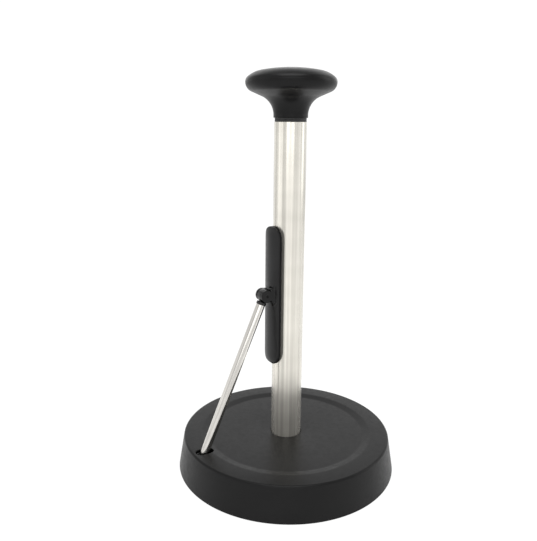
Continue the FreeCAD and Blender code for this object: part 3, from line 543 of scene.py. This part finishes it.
def grey_stops(ramp, first, last, between):
    """Sets a colour ramp's ends and the (position, level) stops between them, all in grey."""
    stops = ramp.color_ramp.elements
    stops[0].position, stops[0].color = 0.0, (first, first, first, 1)
    stops[1].position, stops[1].color = 1.0, (last, last, last, 1)
    for position, level in between:
        stops.new(position).color = (level, level, level, 1)


def make_world():
    """Soft studio surroundings, brightest at the horizon, with broad light and dark bands all round."""
    world = bpy.data.worlds.new("studio")
    bpy.context.scene.world = world
    world.use_nodes = True
    tree = world.node_tree
    nodes, links = tree.nodes, tree.links
    nodes.clear()
    direction = nodes.new("ShaderNodeTexCoord").outputs["Generated"]
    split = nodes.new("ShaderNodeSeparateXYZ")
    links.new(direction, split.inputs[0])

    height = nodes.new("ShaderNodeMapRange")
    height.inputs["From Min"].default_value = -1
    links.new(split.outputs["Z"], height.inputs["Value"])
    rise = nodes.new("ShaderNodeValToRGB")
    links.new(height.outputs["Result"], rise.inputs["Fac"])
    grey_stops(rise, 0.9, 0.55, ((0.50, 1.05), (0.58, 0.95), (0.75, 0.60)))

    angle = nodes.new("ShaderNodeMath")
    angle.operation = "ARCTAN2"
    links.new(split.outputs["Y"], angle.inputs[0])
    links.new(split.outputs["X"], angle.inputs[1])
    around = nodes.new("ShaderNodeMapRange")
    around.inputs["From Min"].default_value = -math.pi
    around.inputs["From Max"].default_value = math.pi
    links.new(angle.outputs["Value"], around.inputs["Value"])
    bands = nodes.new("ShaderNodeValToRGB")
    bands.color_ramp.interpolation = "B_SPLINE"
    links.new(around.outputs["Result"], bands.inputs["Fac"])
    levels = ((0.10, 0.80), (0.22, 1.1), (0.40, 0.85), (0.55, 1.0), (0.75, 0.85), (0.90, 1.05))
    grey_stops(bands, 1.0, 1.0, levels)

    both = nodes.new("ShaderNodeMix")
    both.data_type = "RGBA"
    both.blend_type = "MULTIPLY"
    both.inputs["Factor"].default_value = 1.0
    links.new(rise.outputs["Color"], both.inputs["A"])
    links.new(bands.outputs["Color"], both.inputs["B"])

    surroundings = nodes.new("ShaderNodeBackground")
    links.new(both.outputs["Result"], surroundings.inputs["Color"])
    output = nodes.new("ShaderNodeOutputWorld")
    links.new(seen_as_white(tree, surroundings.outputs["Background"], 1.05, 1.0), output.inputs["Surface"])


def make_softbox(name, where, size, power):
    """A soft rectangular light that faces the middle of the object."""
    light = bpy.data.lights.new(name, "AREA")
    light.shape = "RECTANGLE"
    light.size, light.size_y = size
    light.energy = power
    box = bpy.data.objects.new(name, light)
    bpy.context.scene.collection.objects.link(box)
    box.location = where
    aim = OBJECT_MIDDLE - Vector(where)
    box.rotation_euler = aim.to_track_quat("-Z", "Y").to_euler()


make_camera()
make_floor()
make_world()
make_softbox("softbox_above", where=(-0.25, -0.35, 1.8), size=(1.1, 1.1), power=10)
make_softbox("softbox_left", where=(-1.5, 0.35, 0.9), size=(1.0, 1.8), power=2)
make_softbox("softbox_right", where=(1.5, -0.6, 0.9), size=(0.8, 1.6), power=4)
make_softbox("softbox_behind", where=(0.82, 1.25, 1.15), size=(3.0, 1.5), power=8)
make_softbox("softbox_front", where=(-0.79, -1.24, 0.85), size=(1.6, 0.9), power=4)
bpy.context.scene.view_settings.view_transform = "Standard"

# ---- base --------------------------------------------------------------------------------------------------

COVER_WALL = 2.4 * MM
RING_TOP = COVER_HIGH.z
DISH_TOP = RING_TOP - 1.4 * MM
STEP_CORNERS = (79.5 * MM, 72.5 * MM)
STEP_ROUNDING = 12 * MM
SHOULDER = 96.13 * MM
POLE_HOLE = 14.35 * MM
POLE_COLLAR = 17.5 * MM
SLOT_HALF_WIDTH = 4.7 * MM
SLOT_ENDS = (-93.3 * MM, -76.5 * MM)
SLOT_EDGE = 0.55 * MM
SLOT_FLARE = 2.5 * MM
POST_RADIUS = 3.6 * MM
POST_BORE = 1.5 * MM
SCREW_HEAD = 3.2 * MM
FOOT_INNER = 87.5 * MM
FOOT_GROOVE_DEPTH = 0.8 * MM


def slot_loop(offset, height, steps=20):
    """The slot's outline, widened by an offset."""
    radius = SLOT_HALF_WIDTH + offset
    outer = arc((SLOT_ENDS[0] + SLOT_HALF_WIDTH, 0), radius, 90, 270, steps)
    inner = arc((SLOT_ENDS[1] - SLOT_HALF_WIDTH, 0), radius, -90, 90, steps)
    return [(point.x, point.y, height) for point in outer + inner]


def slot_cutter():
    """The slot's hollow, whose mouth flares so that the slot's edge comes out rounded."""
    loops = [slot_loop(0, DISH_TOP - 2 * COVER_WALL)]
    for point in arc((SLOT_EDGE, RING_TOP - SLOT_EDGE), SLOT_EDGE, 180, 100, 6):
        loops.append(slot_loop(point.x, point.y))
    loops.append(slot_loop(SLOT_FLARE, RING_TOP + 0.6 * MM))
    loops.append(slot_loop(SLOT_FLARE, RING_TOP + 3 * MM))
    return loft("slot_cutter", loops)


def make_base_cover():
    radius = COVER_HIGH.x
    bottom = COVER_LOW.z
    under_dish = DISH_TOP - COVER_WALL
    under_ring = RING_TOP - COVER_WALL
    collar_bottom = WEIGHT_TOP + 0.05 * MM
    outline = rounded(
        [
            (radius, bottom, 0.35 * MM),
            (SHOULDER, RING_TOP, 2.2 * MM),
            (STEP_CORNERS[0], RING_TOP, STEP_ROUNDING),
            (STEP_CORNERS[1], DISH_TOP, STEP_ROUNDING),
            (POLE_HOLE, DISH_TOP, 0.6 * MM),
            (POLE_HOLE, collar_bottom, 0.2 * MM),
            (POLE_COLLAR, collar_bottom, 0.2 * MM),
            (POLE_COLLAR, under_dish, 0.8 * MM),
            (STEP_CORNERS[1], under_dish, 2 * MM),
            (STEP_CORNERS[0], under_ring, 2 * MM),
            (SHOULDER - COVER_WALL, under_ring, 1.6 * MM),
            (radius - COVER_WALL, bottom, 0.3 * MM),
        ],
        steps=9,
    )
    cover = lathe("base_cover_shell", outline, sides=360)
    post_top = under_ring + 1.1 * MM
    posts = []
    for foot, low in post_places():
        post_outline = rounded(
            [
                (POST_BORE, low),
                (POST_RADIUS, low, 0.3 * MM),
                (POST_RADIUS, post_top),
                (POST_BORE, post_top),
            ]
        )
        post = lathe("post", post_outline, sides=48)
        posts.append(place(post, Matrix.Translation(foot)))
    combine(cover, "UNION", *posts)
    combine(cover, "DIFFERENCE", slot_cutter())
    stand_in(cover, "base_cover", "root", "cover_plastic")


def post_places():
    """Where the cover's screw posts stand and how low they reach."""
    plate_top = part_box("base_plate")[1].z
    screw_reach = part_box("base_screws")[1].x - SCREW_HEAD
    places = []
    for way_x in (-1, 1):
        for way_y in (-1, 1):
            places.append((Vector((way_x * screw_reach, way_y * screw_reach, 0)), plate_top))
    saddle_low, saddle_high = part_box("bracket_screws")
    saddle_x = (saddle_low.x + saddle_high.x) / 2
    saddle_y = saddle_high.y - SCREW_HEAD
    saddle_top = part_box("pivot_bracket")[0].z + 2 * MM
    for way_y in (-1, 1):
        places.append((Vector((saddle_x, way_y * saddle_y, 0)), saddle_top))
    return places


def make_foot_ring():
    outer = FOOT_HIGH.x
    groove = (outer + FOOT_INNER) / 2
    groove_top = FOOT_LOW.z + FOOT_GROOVE_DEPTH
    outline = rounded(
        [
            (FOOT_INNER, FOOT_HIGH.z, 0.2 * MM),
            (FOOT_INNER, FOOT_LOW.z, 0.7 * MM),
            (groove - 1.2 * MM, FOOT_LOW.z, 0.3 * MM),
            (groove - 0.8 * MM, groove_top, 0.2 * MM),
            (groove + 0.8 * MM, groove_top, 0.2 * MM),
            (groove + 1.2 * MM, FOOT_LOW.z, 0.3 * MM),
            (outer, FOOT_LOW.z, 0.7 * MM),
            (outer, FOOT_HIGH.z, 0.2 * MM),
        ]
    )
    stand_in(lathe("foot_ring_rubber", outline), "foot_ring", "root", "foot_rubber")


# ---- pole --------------------------------------------------------------------------------------------------

POLE_WALL = 1.2 * MM
THREAD_LEAD = 8 * MM
THREAD_STARTS = 2
THREAD_STEP = 0.25 * MM
BUSH_BORE = 8 * MM
BUSH_THREAD_DEPTH = 0.9 * MM


def thread_swell(crest, depth, low, high):
    """Radius of a coarse rounded thread between two heights; depth is positive outwards."""

    def swell(angle, radius, height):
        if abs(radius - crest) > 1e-6:
            return radius
        turns = (height / THREAD_LEAD - angle / TURN) * THREAD_STARTS
        ridge = 0.5 - 0.5 * math.cos(TURN * turns)
        fade = min(1, max(0, (height - low) / MM), max(0, (high - height) / MM))
        return crest + depth * min(1, 1.5 * ridge) * fade

    return swell


def climb(radius, low, high, step):
    """Points up a straight wall, close enough together to carry a thread."""
    count = max(2, round(abs(high - low) / step))
    return [Vector((radius, low + (high - low) * number / count)) for number in range(count + 1)]


def make_pole():
    radius = POLE_HIGH.x
    outline = rounded(
        [
            (radius - POLE_WALL, POLE_LOW.z, 0.15 * MM),
            (radius, POLE_LOW.z, 0.25 * MM),
            (radius, POLE_HIGH.z, 0.25 * MM),
            (radius - POLE_WALL, POLE_HIGH.z, 0.15 * MM),
        ],
        steps=4,
    )
    stand_in(lathe("pole_tube_steel", outline), "pole_tube", "root", "stainless")


def make_pole_top_insert():
    sleeve = POLE_HIGH.x - POLE_WALL - 0.05 * MM
    flange = BUSH_HIGH.x
    bore_low, bore_high = BUSH_LOW.z + 0.5 * MM, BUSH_HIGH.z - 0.6 * MM
    outside = rounded(
        [
            (BUSH_BORE, BUSH_LOW.z, 0.4 * MM),
            (sleeve, BUSH_LOW.z, 0.6 * MM),
            (sleeve, POLE_HIGH.z),
            (flange, POLE_HIGH.z, 0.2 * MM),
            (flange, BUSH_HIGH.z, 0.3 * MM),
            (BUSH_BORE, BUSH_HIGH.z, 0.5 * MM),
        ]
    )
    thread = climb(BUSH_BORE, bore_high, bore_low, THREAD_STEP)
    swell = thread_swell(BUSH_BORE, BUSH_THREAD_DEPTH, bore_low, bore_high)
    bush = lathe("thread_bush", outside + thread, FINE_SIDES, swell)
    stand_in(bush, "pole_top_insert", "root", "black_nylon")


# ---- knob --------------------------------------------------------------------------------------------------

KNOB_WIDEST = KNOB_HIGH.z
KNOB_RADIUS = KNOB_HIGH.x
KNOB_NECK = 14.7 * MM
FLARE_START = KNOB_WIDEST - 26.6 * MM
FLARE_RADIUS = 16.6 * MM
UNDER_SLOPE = 23
RIM_UNDER = 8.3 * MM
RIM_OVER = 5.5 * MM
KNOB_SHOULDER = 21.8 * MM
SHOULDER_SLOPE = 41
TOP_SLOPE = 11
KNOB_WALL = 2.4 * MM
SEAM_EDGE = 0.12 * MM
WASHER_INNER = 8.4 * MM
STEM_BORE = 8 * MM
KNOB_SCREW_HOLE = 1.8 * MM
SPIGOT_WALL = 1.4 * MM
STUD_BORE = 1.5 * MM
STUD_THREAD_DEPTH = 0.9 * MM
STUD_THREAD_LENGTH = 15.5 * MM


def make_knob_washer():
    outline = rounded(
        [
            (WASHER_INNER, WASHER_LOW.z, 0.2 * MM),
            (WASHER_HIGH.x, WASHER_LOW.z, 0.35 * MM),
            (WASHER_HIGH.x, WASHER_HIGH.z, 0.35 * MM),
            (WASHER_INNER, WASHER_HIGH.z, 0.2 * MM),
        ]
    )
    stand_in(lathe("washer_ring", outline), "knob_washer", "washer", "black_nylon")


def make_knob_body():
    floor = STUD_HIGH.z
    flare_centre = (KNOB_NECK + FLARE_RADIUS, FLARE_START)
    rim_centre = (KNOB_RADIUS - RIM_UNDER, KNOB_WIDEST)
    outside = rounded(
        [
            (STEM_BORE, KNOB_LOW.z, 0.3 * MM),
            (KNOB_NECK, KNOB_LOW.z, 0.4 * MM),
            (KNOB_NECK, FLARE_START),
        ]
    )
    outside += arc(flare_centre, FLARE_RADIUS, 180, 90 + UNDER_SLOPE, 20)[1:]
    outside += arc(rim_centre, RIM_UNDER, UNDER_SLOPE - 90, -3, 18)
    edge = [
        Vector((KNOB_RADIUS, KNOB_WIDEST - SEAM_EDGE)),
        Vector((KNOB_RADIUS - SEAM_EDGE, KNOB_WIDEST)),
        Vector((KNOB_RADIUS - KNOB_WALL, KNOB_WIDEST)),
    ]
    inside = arc(rim_centre, RIM_UNDER - KNOB_WALL, 0, UNDER_SLOPE - 90, 12)[1:]
    floor_top = floor + KNOB_WALL
    inner_flare = FLARE_RADIUS + KNOB_WALL
    floor_angle = 180 - math.degrees(math.asin((floor_top - FLARE_START) / inner_flare))
    inside += arc(flare_centre, inner_flare, 90 + UNDER_SLOPE, floor_angle, 12)
    hub = [
        Vector((KNOB_SCREW_HOLE, floor_top)),
        Vector((KNOB_SCREW_HOLE, floor)),
        Vector((STEM_BORE, floor)),
    ]
    body = lathe("knob_funnel", outside + edge + inside + hub)
    stand_in(body, "knob_body", "knob", "knob_plastic")


def make_knob_cap():
    rim_centre = (KNOB_RADIUS - RIM_OVER, KNOB_WIDEST)
    rim_slope = math.radians(SHOULDER_SLOPE)
    crown_slope = math.radians(TOP_SLOPE)
    inset = KNOB_SHOULDER - RIM_OVER
    shoulder_centre = (
        rim_centre[0] - inset * math.sin(rim_slope),
        rim_centre[1] - inset * math.cos(rim_slope),
    )
    crown_radius = shoulder_centre[0] / math.sin(crown_slope) + KNOB_SHOULDER
    crown_centre = (0, CAP_HIGH.z - crown_radius)
    edge = [
        Vector((KNOB_RADIUS - SEAM_EDGE, KNOB_WIDEST)),
        Vector((KNOB_RADIUS, KNOB_WIDEST + SEAM_EDGE)),
    ]
    outside = arc(rim_centre, RIM_OVER, 3, 90 - SHOULDER_SLOPE, 16)
    outside += arc(shoulder_centre, KNOB_SHOULDER, 90 - SHOULDER_SLOPE, 90 - TOP_SLOPE, 20)[1:]
    outside += arc(crown_centre, crown_radius, 90 - TOP_SLOPE, 90, 24)[1:]
    inside = arc(crown_centre, crown_radius - KNOB_WALL, 90, 90 - TOP_SLOPE, 16)
    inside += arc(shoulder_centre, KNOB_SHOULDER - KNOB_WALL, 90 - TOP_SLOPE, 90 - SHOULDER_SLOPE, 12)[1:]
    spigot_out = KNOB_RADIUS - KNOB_WALL - MM
    spigot_in = spigot_out - SPIGOT_WALL
    spigot = [
        Vector((spigot_in, KNOB_WIDEST + 2 * MM)),
        Vector((spigot_in, CAP_LOW.z)),
        Vector((spigot_out, CAP_LOW.z)),
        Vector((spigot_out, KNOB_WIDEST)),
    ]
    cap = lathe("knob_dome", edge + outside + inside + spigot)
    stand_in(cap, "knob_cap", "knob", "knob_plastic")


def make_knob_stud():
    crest = STUD_HIGH.x
    root_radius = crest - STUD_THREAD_DEPTH
    low, high = STUD_LOW.z, STUD_HIGH.z
    thread_low, thread_high = low + 0.8 * MM, low + STUD_THREAD_LENGTH
    outline = [Vector((STUD_BORE, low)), Vector((root_radius - 0.6 * MM, low))]
    outline += climb(root_radius, thread_low, thread_high, THREAD_STEP)
    outline += rounded([(crest, thread_high + 0.6 * MM), (crest, high, 0.2 * MM), (STUD_BORE, high)])
    swell = thread_swell(root_radius, STUD_THREAD_DEPTH - 0.05 * MM, thread_low, thread_high)
    stud = lathe("threaded_stem", outline, FINE_SIDES, swell)
    stand_in(stud, "knob_stud", "knob", "black_nylon")


# ---- arm ---------------------------------------------------------------------------------------------------

ARM_RADIUS = 4 * MM
ARM_WALL = 0.8 * MM
ARM_START = 6 * MM
ARM_END = 148.6 * MM
COLLAR_RADIUS = 4.4 * MM
COLLAR_TOP = ARM_END + 2.6 * MM
NECK_RADIUS = 2.5 * MM
KNUCKLE_RADIUS = 5.8 * MM
TONGUE_HALF_WIDTH = 2.75 * MM
PAD_PIN_RADIUS = 1.2 * MM
PIN_CLEARANCE = 0.05 * MM
SPIGOT_LENGTH = 12 * MM
SPRING_WIRE = 0.6 * MM
SPRING_BEND = 1 * MM
SPRING_FAR_END = 3.6 * MM
SPRING_NEAR_END = 2.5 * MM
SPRING_TURNS = 5
SPRING_START = math.radians(-60)


def make_arm_tube():
    outline = rounded(
        [
            (ARM_RADIUS - ARM_WALL, ARM_START, 0.1 * MM),
            (ARM_RADIUS, ARM_START, 0.2 * MM),
            (ARM_RADIUS, ARM_END, 0.2 * MM),
            (ARM_RADIUS - ARM_WALL, ARM_END, 0.1 * MM),
        ],
        steps=4,
    )
    tube = lathe("arm_tube_steel", outline, FINE_SIDES)
    tube.matrix_world = TO_ARM
    stand_in(tube, "arm_tube", "arm", "stainless", "bright_stainless")


def disc_across(name, radius, half_width, bore, rounding, centre, sides=FINE_SIDES):
    """A disc with rounded edges and a bore, its axis along Y."""
    outline = rounded(
        [
            (bore, -half_width, 0.15 * MM),
            (radius, -half_width, rounding),
            (radius, half_width, rounding),
            (bore, half_width, 0.15 * MM),
        ]
    )
    return place(lathe(name, outline, sides), across(centre))


def make_arm_head():
    spigot = ARM_RADIUS - ARM_WALL - 0.05 * MM
    spigot_start = ARM_END - SPIGOT_LENGTH
    collar_bottom = ARM_END + 0.05 * MM
    outline = rounded(
        [
            (0, spigot_start),
            (spigot, spigot_start, 0.5 * MM),
            (spigot, collar_bottom),
            (COLLAR_RADIUS, collar_bottom, 0.35 * MM),
            (COLLAR_RADIUS, COLLAR_TOP, 0.8 * MM),
            (NECK_RADIUS, COLLAR_TOP + 0.2 * MM, 0.9 * MM),
            (NECK_RADIUS, ARM_LENGTH - 4 * MM),
            (0, ARM_LENGTH - 4 * MM),
        ]
    )
    head = place(lathe("arm_head_neck", outline, FINE_SIDES), TO_ARM)
    bore = PAD_PIN_RADIUS + PIN_CLEARANCE
    tongue = disc_across("tongue", KNUCKLE_RADIUS, TONGUE_HALF_WIDTH, bore, 0.5 * MM, PAD_PIN)
    combine(head, "UNION", tongue)
    stand_in(head, "arm_head", "arm", "knuckle_plastic")


def spring_path(radius, far_end, near_end):
    """Points along the spring's wire about Y: an end, a bend, the coil, a bend and the other end."""
    bend_steps, coil_steps = 6, 300
    far, near = far_end - SPRING_FAR_END, near_end + SPRING_NEAR_END
    bend = SPRING_BEND
    bend_angle = bend / radius
    first = SPRING_START
    last = math.pi - math.atan2(ARM_AXIS.x, ARM_AXIS.z) - SPRING_TURNS * TURN
    places = [(first, far_end)]
    for step in range(bend_steps):
        turned = math.pi / 2 * step / bend_steps
        places.append((first - bend_angle * (1 - math.cos(turned)), far + bend * (1 - math.sin(turned))))
    for step in range(coil_steps + 1):
        share = step / coil_steps
        angle = first - bend_angle + (last - first + 2 * bend_angle) * share
        places.append((angle, far + (near - far) * share))
    for step in range(1, bend_steps + 1):
        turned = math.pi / 2 * step / bend_steps
        places.append((last + bend_angle * (1 - math.sin(turned)), near - bend * (1 - math.cos(turned))))
    places.append((last, near_end))
    return [Vector((math.cos(angle) * radius, along, math.sin(angle) * radius)) for angle, along in places]


def make_arm_spring():
    """The torsion coil round the arm's pin, its bent ends in the bracket and in the hub."""
    low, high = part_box("arm_spring")
    radius = (high.z - low.z) / 2 - SPRING_WIRE
    path = spring_path(radius, high.y, low.y)
    middle = Vector((ARM_PIN.x, 0, ARM_PIN.z))
    spring = sweep("torsion_coil", [point + middle for point in path], SPRING_WIRE)
    spring.data.materials.append(materials["spring_steel"])
    start, end = middle.copy(), middle.copy()
    start.y, end.y = high.y - SPRING_FAR_END, low.y + SPRING_NEAR_END
    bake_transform(spring)
    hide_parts("arm_spring")


def sweep(name, path, radius, sides=14):
    """A round bar along a path, with flat ends."""
    loops = []
    side = Vector((1, 0, 0))
    for number, point in enumerate(path):
        ahead = path[min(number + 1, len(path) - 1)]
        behind = path[max(number - 1, 0)]
        along = (ahead - behind).normalized()
        side = (side - along * side.dot(along)).normalized()
        other = along.cross(side)
        loop = []
        for corner in range(sides):
            angle = TURN * corner / sides
            loop.append(point + side * (radius * math.cos(angle)) + other * (radius * math.sin(angle)))
        loops.append(loop)
    return loft(name, loops)


# ---- pad ---------------------------------------------------------------------------------------------------

PAD_HALF_WIDTH = SHELL_HIGH.y
PAD_HALF_LENGTH = (SHELL_HIGH.z - SHELL_LOW.z) / 2
PAD_MIDDLE = (SHELL_HIGH.z + SHELL_LOW.z) / 2
PAD_SEAM = -SHELL_HIGH.x
PAD_FACE = -GRIP_HIGH.x
PAD_CORNER = 10.5 * MM
PAD_EDGE = 0.9 * MM
PAD_RISE = 2.8 * MM
PAD_END = 11 * MM
SIDE_STEPS = 40
EAR_INSIDE = 3.0 * MM
EAR_OUTSIDE = 5.9 * MM
YOKE_FLARE_WIDTH = 3.3 * MM
YOKE_FLARE_HEIGHT = 2.2 * MM
YOKE_FLARE_RISE = 3.4 * MM
RIB_PITCH = 3 * MM
RIB_DEPTH = 0.25 * MM


def pad_border(inset, steps=16):
    """The pad's outline, drawn in by an inset, as (across, up) from the pad's middle."""
    points = []
    radius = PAD_CORNER - inset
    centre = (PAD_HALF_WIDTH - PAD_CORNER, PAD_HALF_LENGTH - PAD_CORNER)
    for way_x, way_y, start in ((1, 1, 0), (-1, 1, 90), (-1, -1, 180), (1, -1, 270)):
        points += arc((way_x * centre[0], way_y * centre[1]), radius, start, start + 90, steps)
        if way_x * way_y < 0:
            for number in range(1, SIDE_STEPS):
                up = way_y * centre[1] * (1 - 2 * number / SIDE_STEPS)
                points.append(Vector((way_x * (centre[0] + radius), up)))
    return points


def pad_height(across_at, up_at):
    """How far the pad's outer face stands out over its edge."""
    dome = 1 - (across_at / PAD_HALF_WIDTH) ** 2
    beyond = max(0, (abs(up_at) - (PAD_HALF_LENGTH - PAD_END)) / PAD_END)
    return PAD_RISE * dome * math.sqrt(max(0, 1 - beyond**2.4))


def pad_loops(seam_x, way, thickness_at, fillet, back_fillet):
    """Loops of a pad layer from its flat back, round its edge and up to its middle line."""
    face_steps = 14
    spine_end = PAD_HALF_LENGTH - PAD_HALF_WIDTH
    loops = []
    for point in arc((back_fillet, back_fillet), back_fillet, 270, 180, 4):
        loops.append([(seam_x + way * point.y, p.x, p.y + PAD_MIDDLE) for p in pad_border(point.x)])
    for angle in range(0, 91, 15):
        inset = fillet * (1 - math.cos(math.radians(angle)))
        drop = fillet * (1 - math.sin(math.radians(angle)))
        loop = []
        for p in pad_border(inset):
            loop.append((seam_x + way * (thickness_at(p.x, p.y) - drop), p.x, p.y + PAD_MIDDLE))
        loops.append(loop)
    border = pad_border(fillet)
    for number in range(1, face_steps + 1):
        share = 1 - number / face_steps
        loop = []
        for p in border:
            core = Vector((0, max(-1, min(1, p.y / spine_end)) * spine_end))
            q = core + (p - core) * share
            loop.append((seam_x + way * thickness_at(q.x, q.y), q.x, q.y + PAD_MIDDLE))
        loops.append(loop)
    return loops


def make_pad_layer(name, seam_x, way, thickness_at, fillet, back_fillet):
    builder = bmesh.new()
    loops = pad_loops(seam_x, way, thickness_at, fillet, back_fillet)
    rows = [[builder.verts.new(point) for point in loop] for loop in loops]
    count = len(rows[0])
    for low, high in zip(rows, rows[1:]):
        for number in range(count):
            after = (number + 1) % count
            builder.faces.new((low[number], low[after], high[after], high[number]))
    builder.faces.new(rows[0])
    bmesh.ops.remove_doubles(builder, verts=builder.verts, dist=2e-5)
    return to_object(name, builder)


def make_pad_grip():
    """The soft inner layer, with shallow ribs across the face that meets the roll."""
    thickness = PAD_SEAM - 0.05 * MM - PAD_FACE

    def flat(across_at, up_at):
        rib = 0.5 + 0.5 * math.cos(TURN * up_at / RIB_PITCH)
        inside = min(1, max(0, (PAD_HALF_WIDTH - 2 * MM - abs(across_at)) / MM))
        ends = min(1, max(0, (PAD_HALF_LENGTH - 8 * MM - abs(up_at)) / MM))
        return thickness - RIB_DEPTH * rib * inside * ends

    grip = make_pad_layer("pad_grip_rubber", GRIP_LOW.x, 1, flat, 0.45 * MM, 0.3 * MM)
    stand_in(grip, "pad_grip", "pad", "pad_rubber")


def yoke_section(reach, half_width, half_height, rounding):
    """A rounded rectangle across the pad at a distance from the pole's axis."""
    corners = [
        (-half_width, -half_height, rounding),
        (half_width, -half_height, rounding),
        (half_width, half_height, rounding),
        (-half_width, half_height, rounding),
    ]
    return [(-reach, point.x, point.y + PAD_PIN.z) for point in rounded(corners, steps=8)]


def make_yoke():
    """The two ears that hold the arm's tongue, flaring out into the pad's face."""
    crest = PAD_SEAM + PAD_EDGE + PAD_RISE
    pivot = -PAD_PIN.x
    sections = []
    flare_steps = 8
    for number in range(flare_steps + 1):
        share = number / flare_steps
        spread = (1 - share) ** 2.2
        reach = crest - 1.6 * MM + share * YOKE_FLARE_RISE
        half_width = EAR_OUTSIDE + YOKE_FLARE_WIDTH * spread
        half_height = KNUCKLE_RADIUS - 0.1 * MM + YOKE_FLARE_HEIGHT * spread
        sections.append(yoke_section(reach, half_width, half_height, 2.2 * MM))
    sections.append(yoke_section(pivot, EAR_OUTSIDE, KNUCKLE_RADIUS - 0.05 * MM, 0.4 * MM))
    yoke = loft("yoke", sections)
    barrel = disc_across("barrel", KNUCKLE_RADIUS, EAR_OUTSIDE, 0.2 * MM, 0.5 * MM, PAD_PIN)
    combine(yoke, "UNION", barrel)
    gap_front, gap_floor = -pivot - 9 * MM, -crest - 1.5 * MM
    gap_low, gap_high = PAD_PIN.z - 14 * MM, PAD_PIN.z + 14 * MM
    corners = ((gap_front, gap_high), (gap_floor, gap_high), (gap_floor, gap_low), (gap_front, gap_low))
    gap = loft("gap", [[(x, y, z) for x, z in corners] for y in (-EAR_INSIDE, EAR_INSIDE)])
    combine(yoke, "DIFFERENCE", gap)
    return remeshed(yoke, 0.22 * MM, 5)


def make_pad_shell():
    def domed(across_at, up_at):
        return PAD_EDGE + pad_height(across_at, up_at)

    shell = make_pad_layer("pad_shell_moulding", SHELL_HIGH.x, -1, domed, 0.5 * MM, 0.4 * MM)
    combine(shell, "UNION", make_yoke())
    well = disc_across("well", KNUCKLE_RADIUS + 0.3 * MM, EAR_INSIDE, 0.2 * MM, 0.1 * MM, PAD_PIN)
    bore_radius = PAD_PIN_RADIUS + PIN_CLEARANCE
    bore = disc_across("bore", bore_radius, 2 * EAR_OUTSIDE, 0.01 * MM, 0.1 * MM, PAD_PIN, 48)
    combine(shell, "DIFFERENCE", well, bore)
    stand_in(shell, "pad_shell", "pad", "pad_plastic")


# ---- CAD nodes that keep their shape -----------------------------------------------------------------------


def finish_cad_nodes():
    """Gives every CAD node that is still shown its material, and softens its hard edges."""
    slots = {part["node"]: part["material_slot"] for part in frame["record"]["subparts"]}
    for name, node in frame["nodes"].items():
        if node.hide_render:
            continue
        node.data.materials.clear()
        node.data.materials.append(materials[slots[name]])
        edges = node.modifiers.new("edges", "BEVEL")
        edges.width = 0.15 * MM
        edges.segments = 2
        edges.limit_method = "ANGLE"
        edges.angle_limit = math.radians(50)


make_base_cover()
make_foot_ring()
make_pole()
make_pole_top_insert()
make_knob_washer()
make_knob_body()
make_knob_cap()
make_knob_stud()
make_arm_tube()
make_arm_head()
make_arm_spring()
make_pad_grip()
make_pad_shell()
finish_cad_nodes()
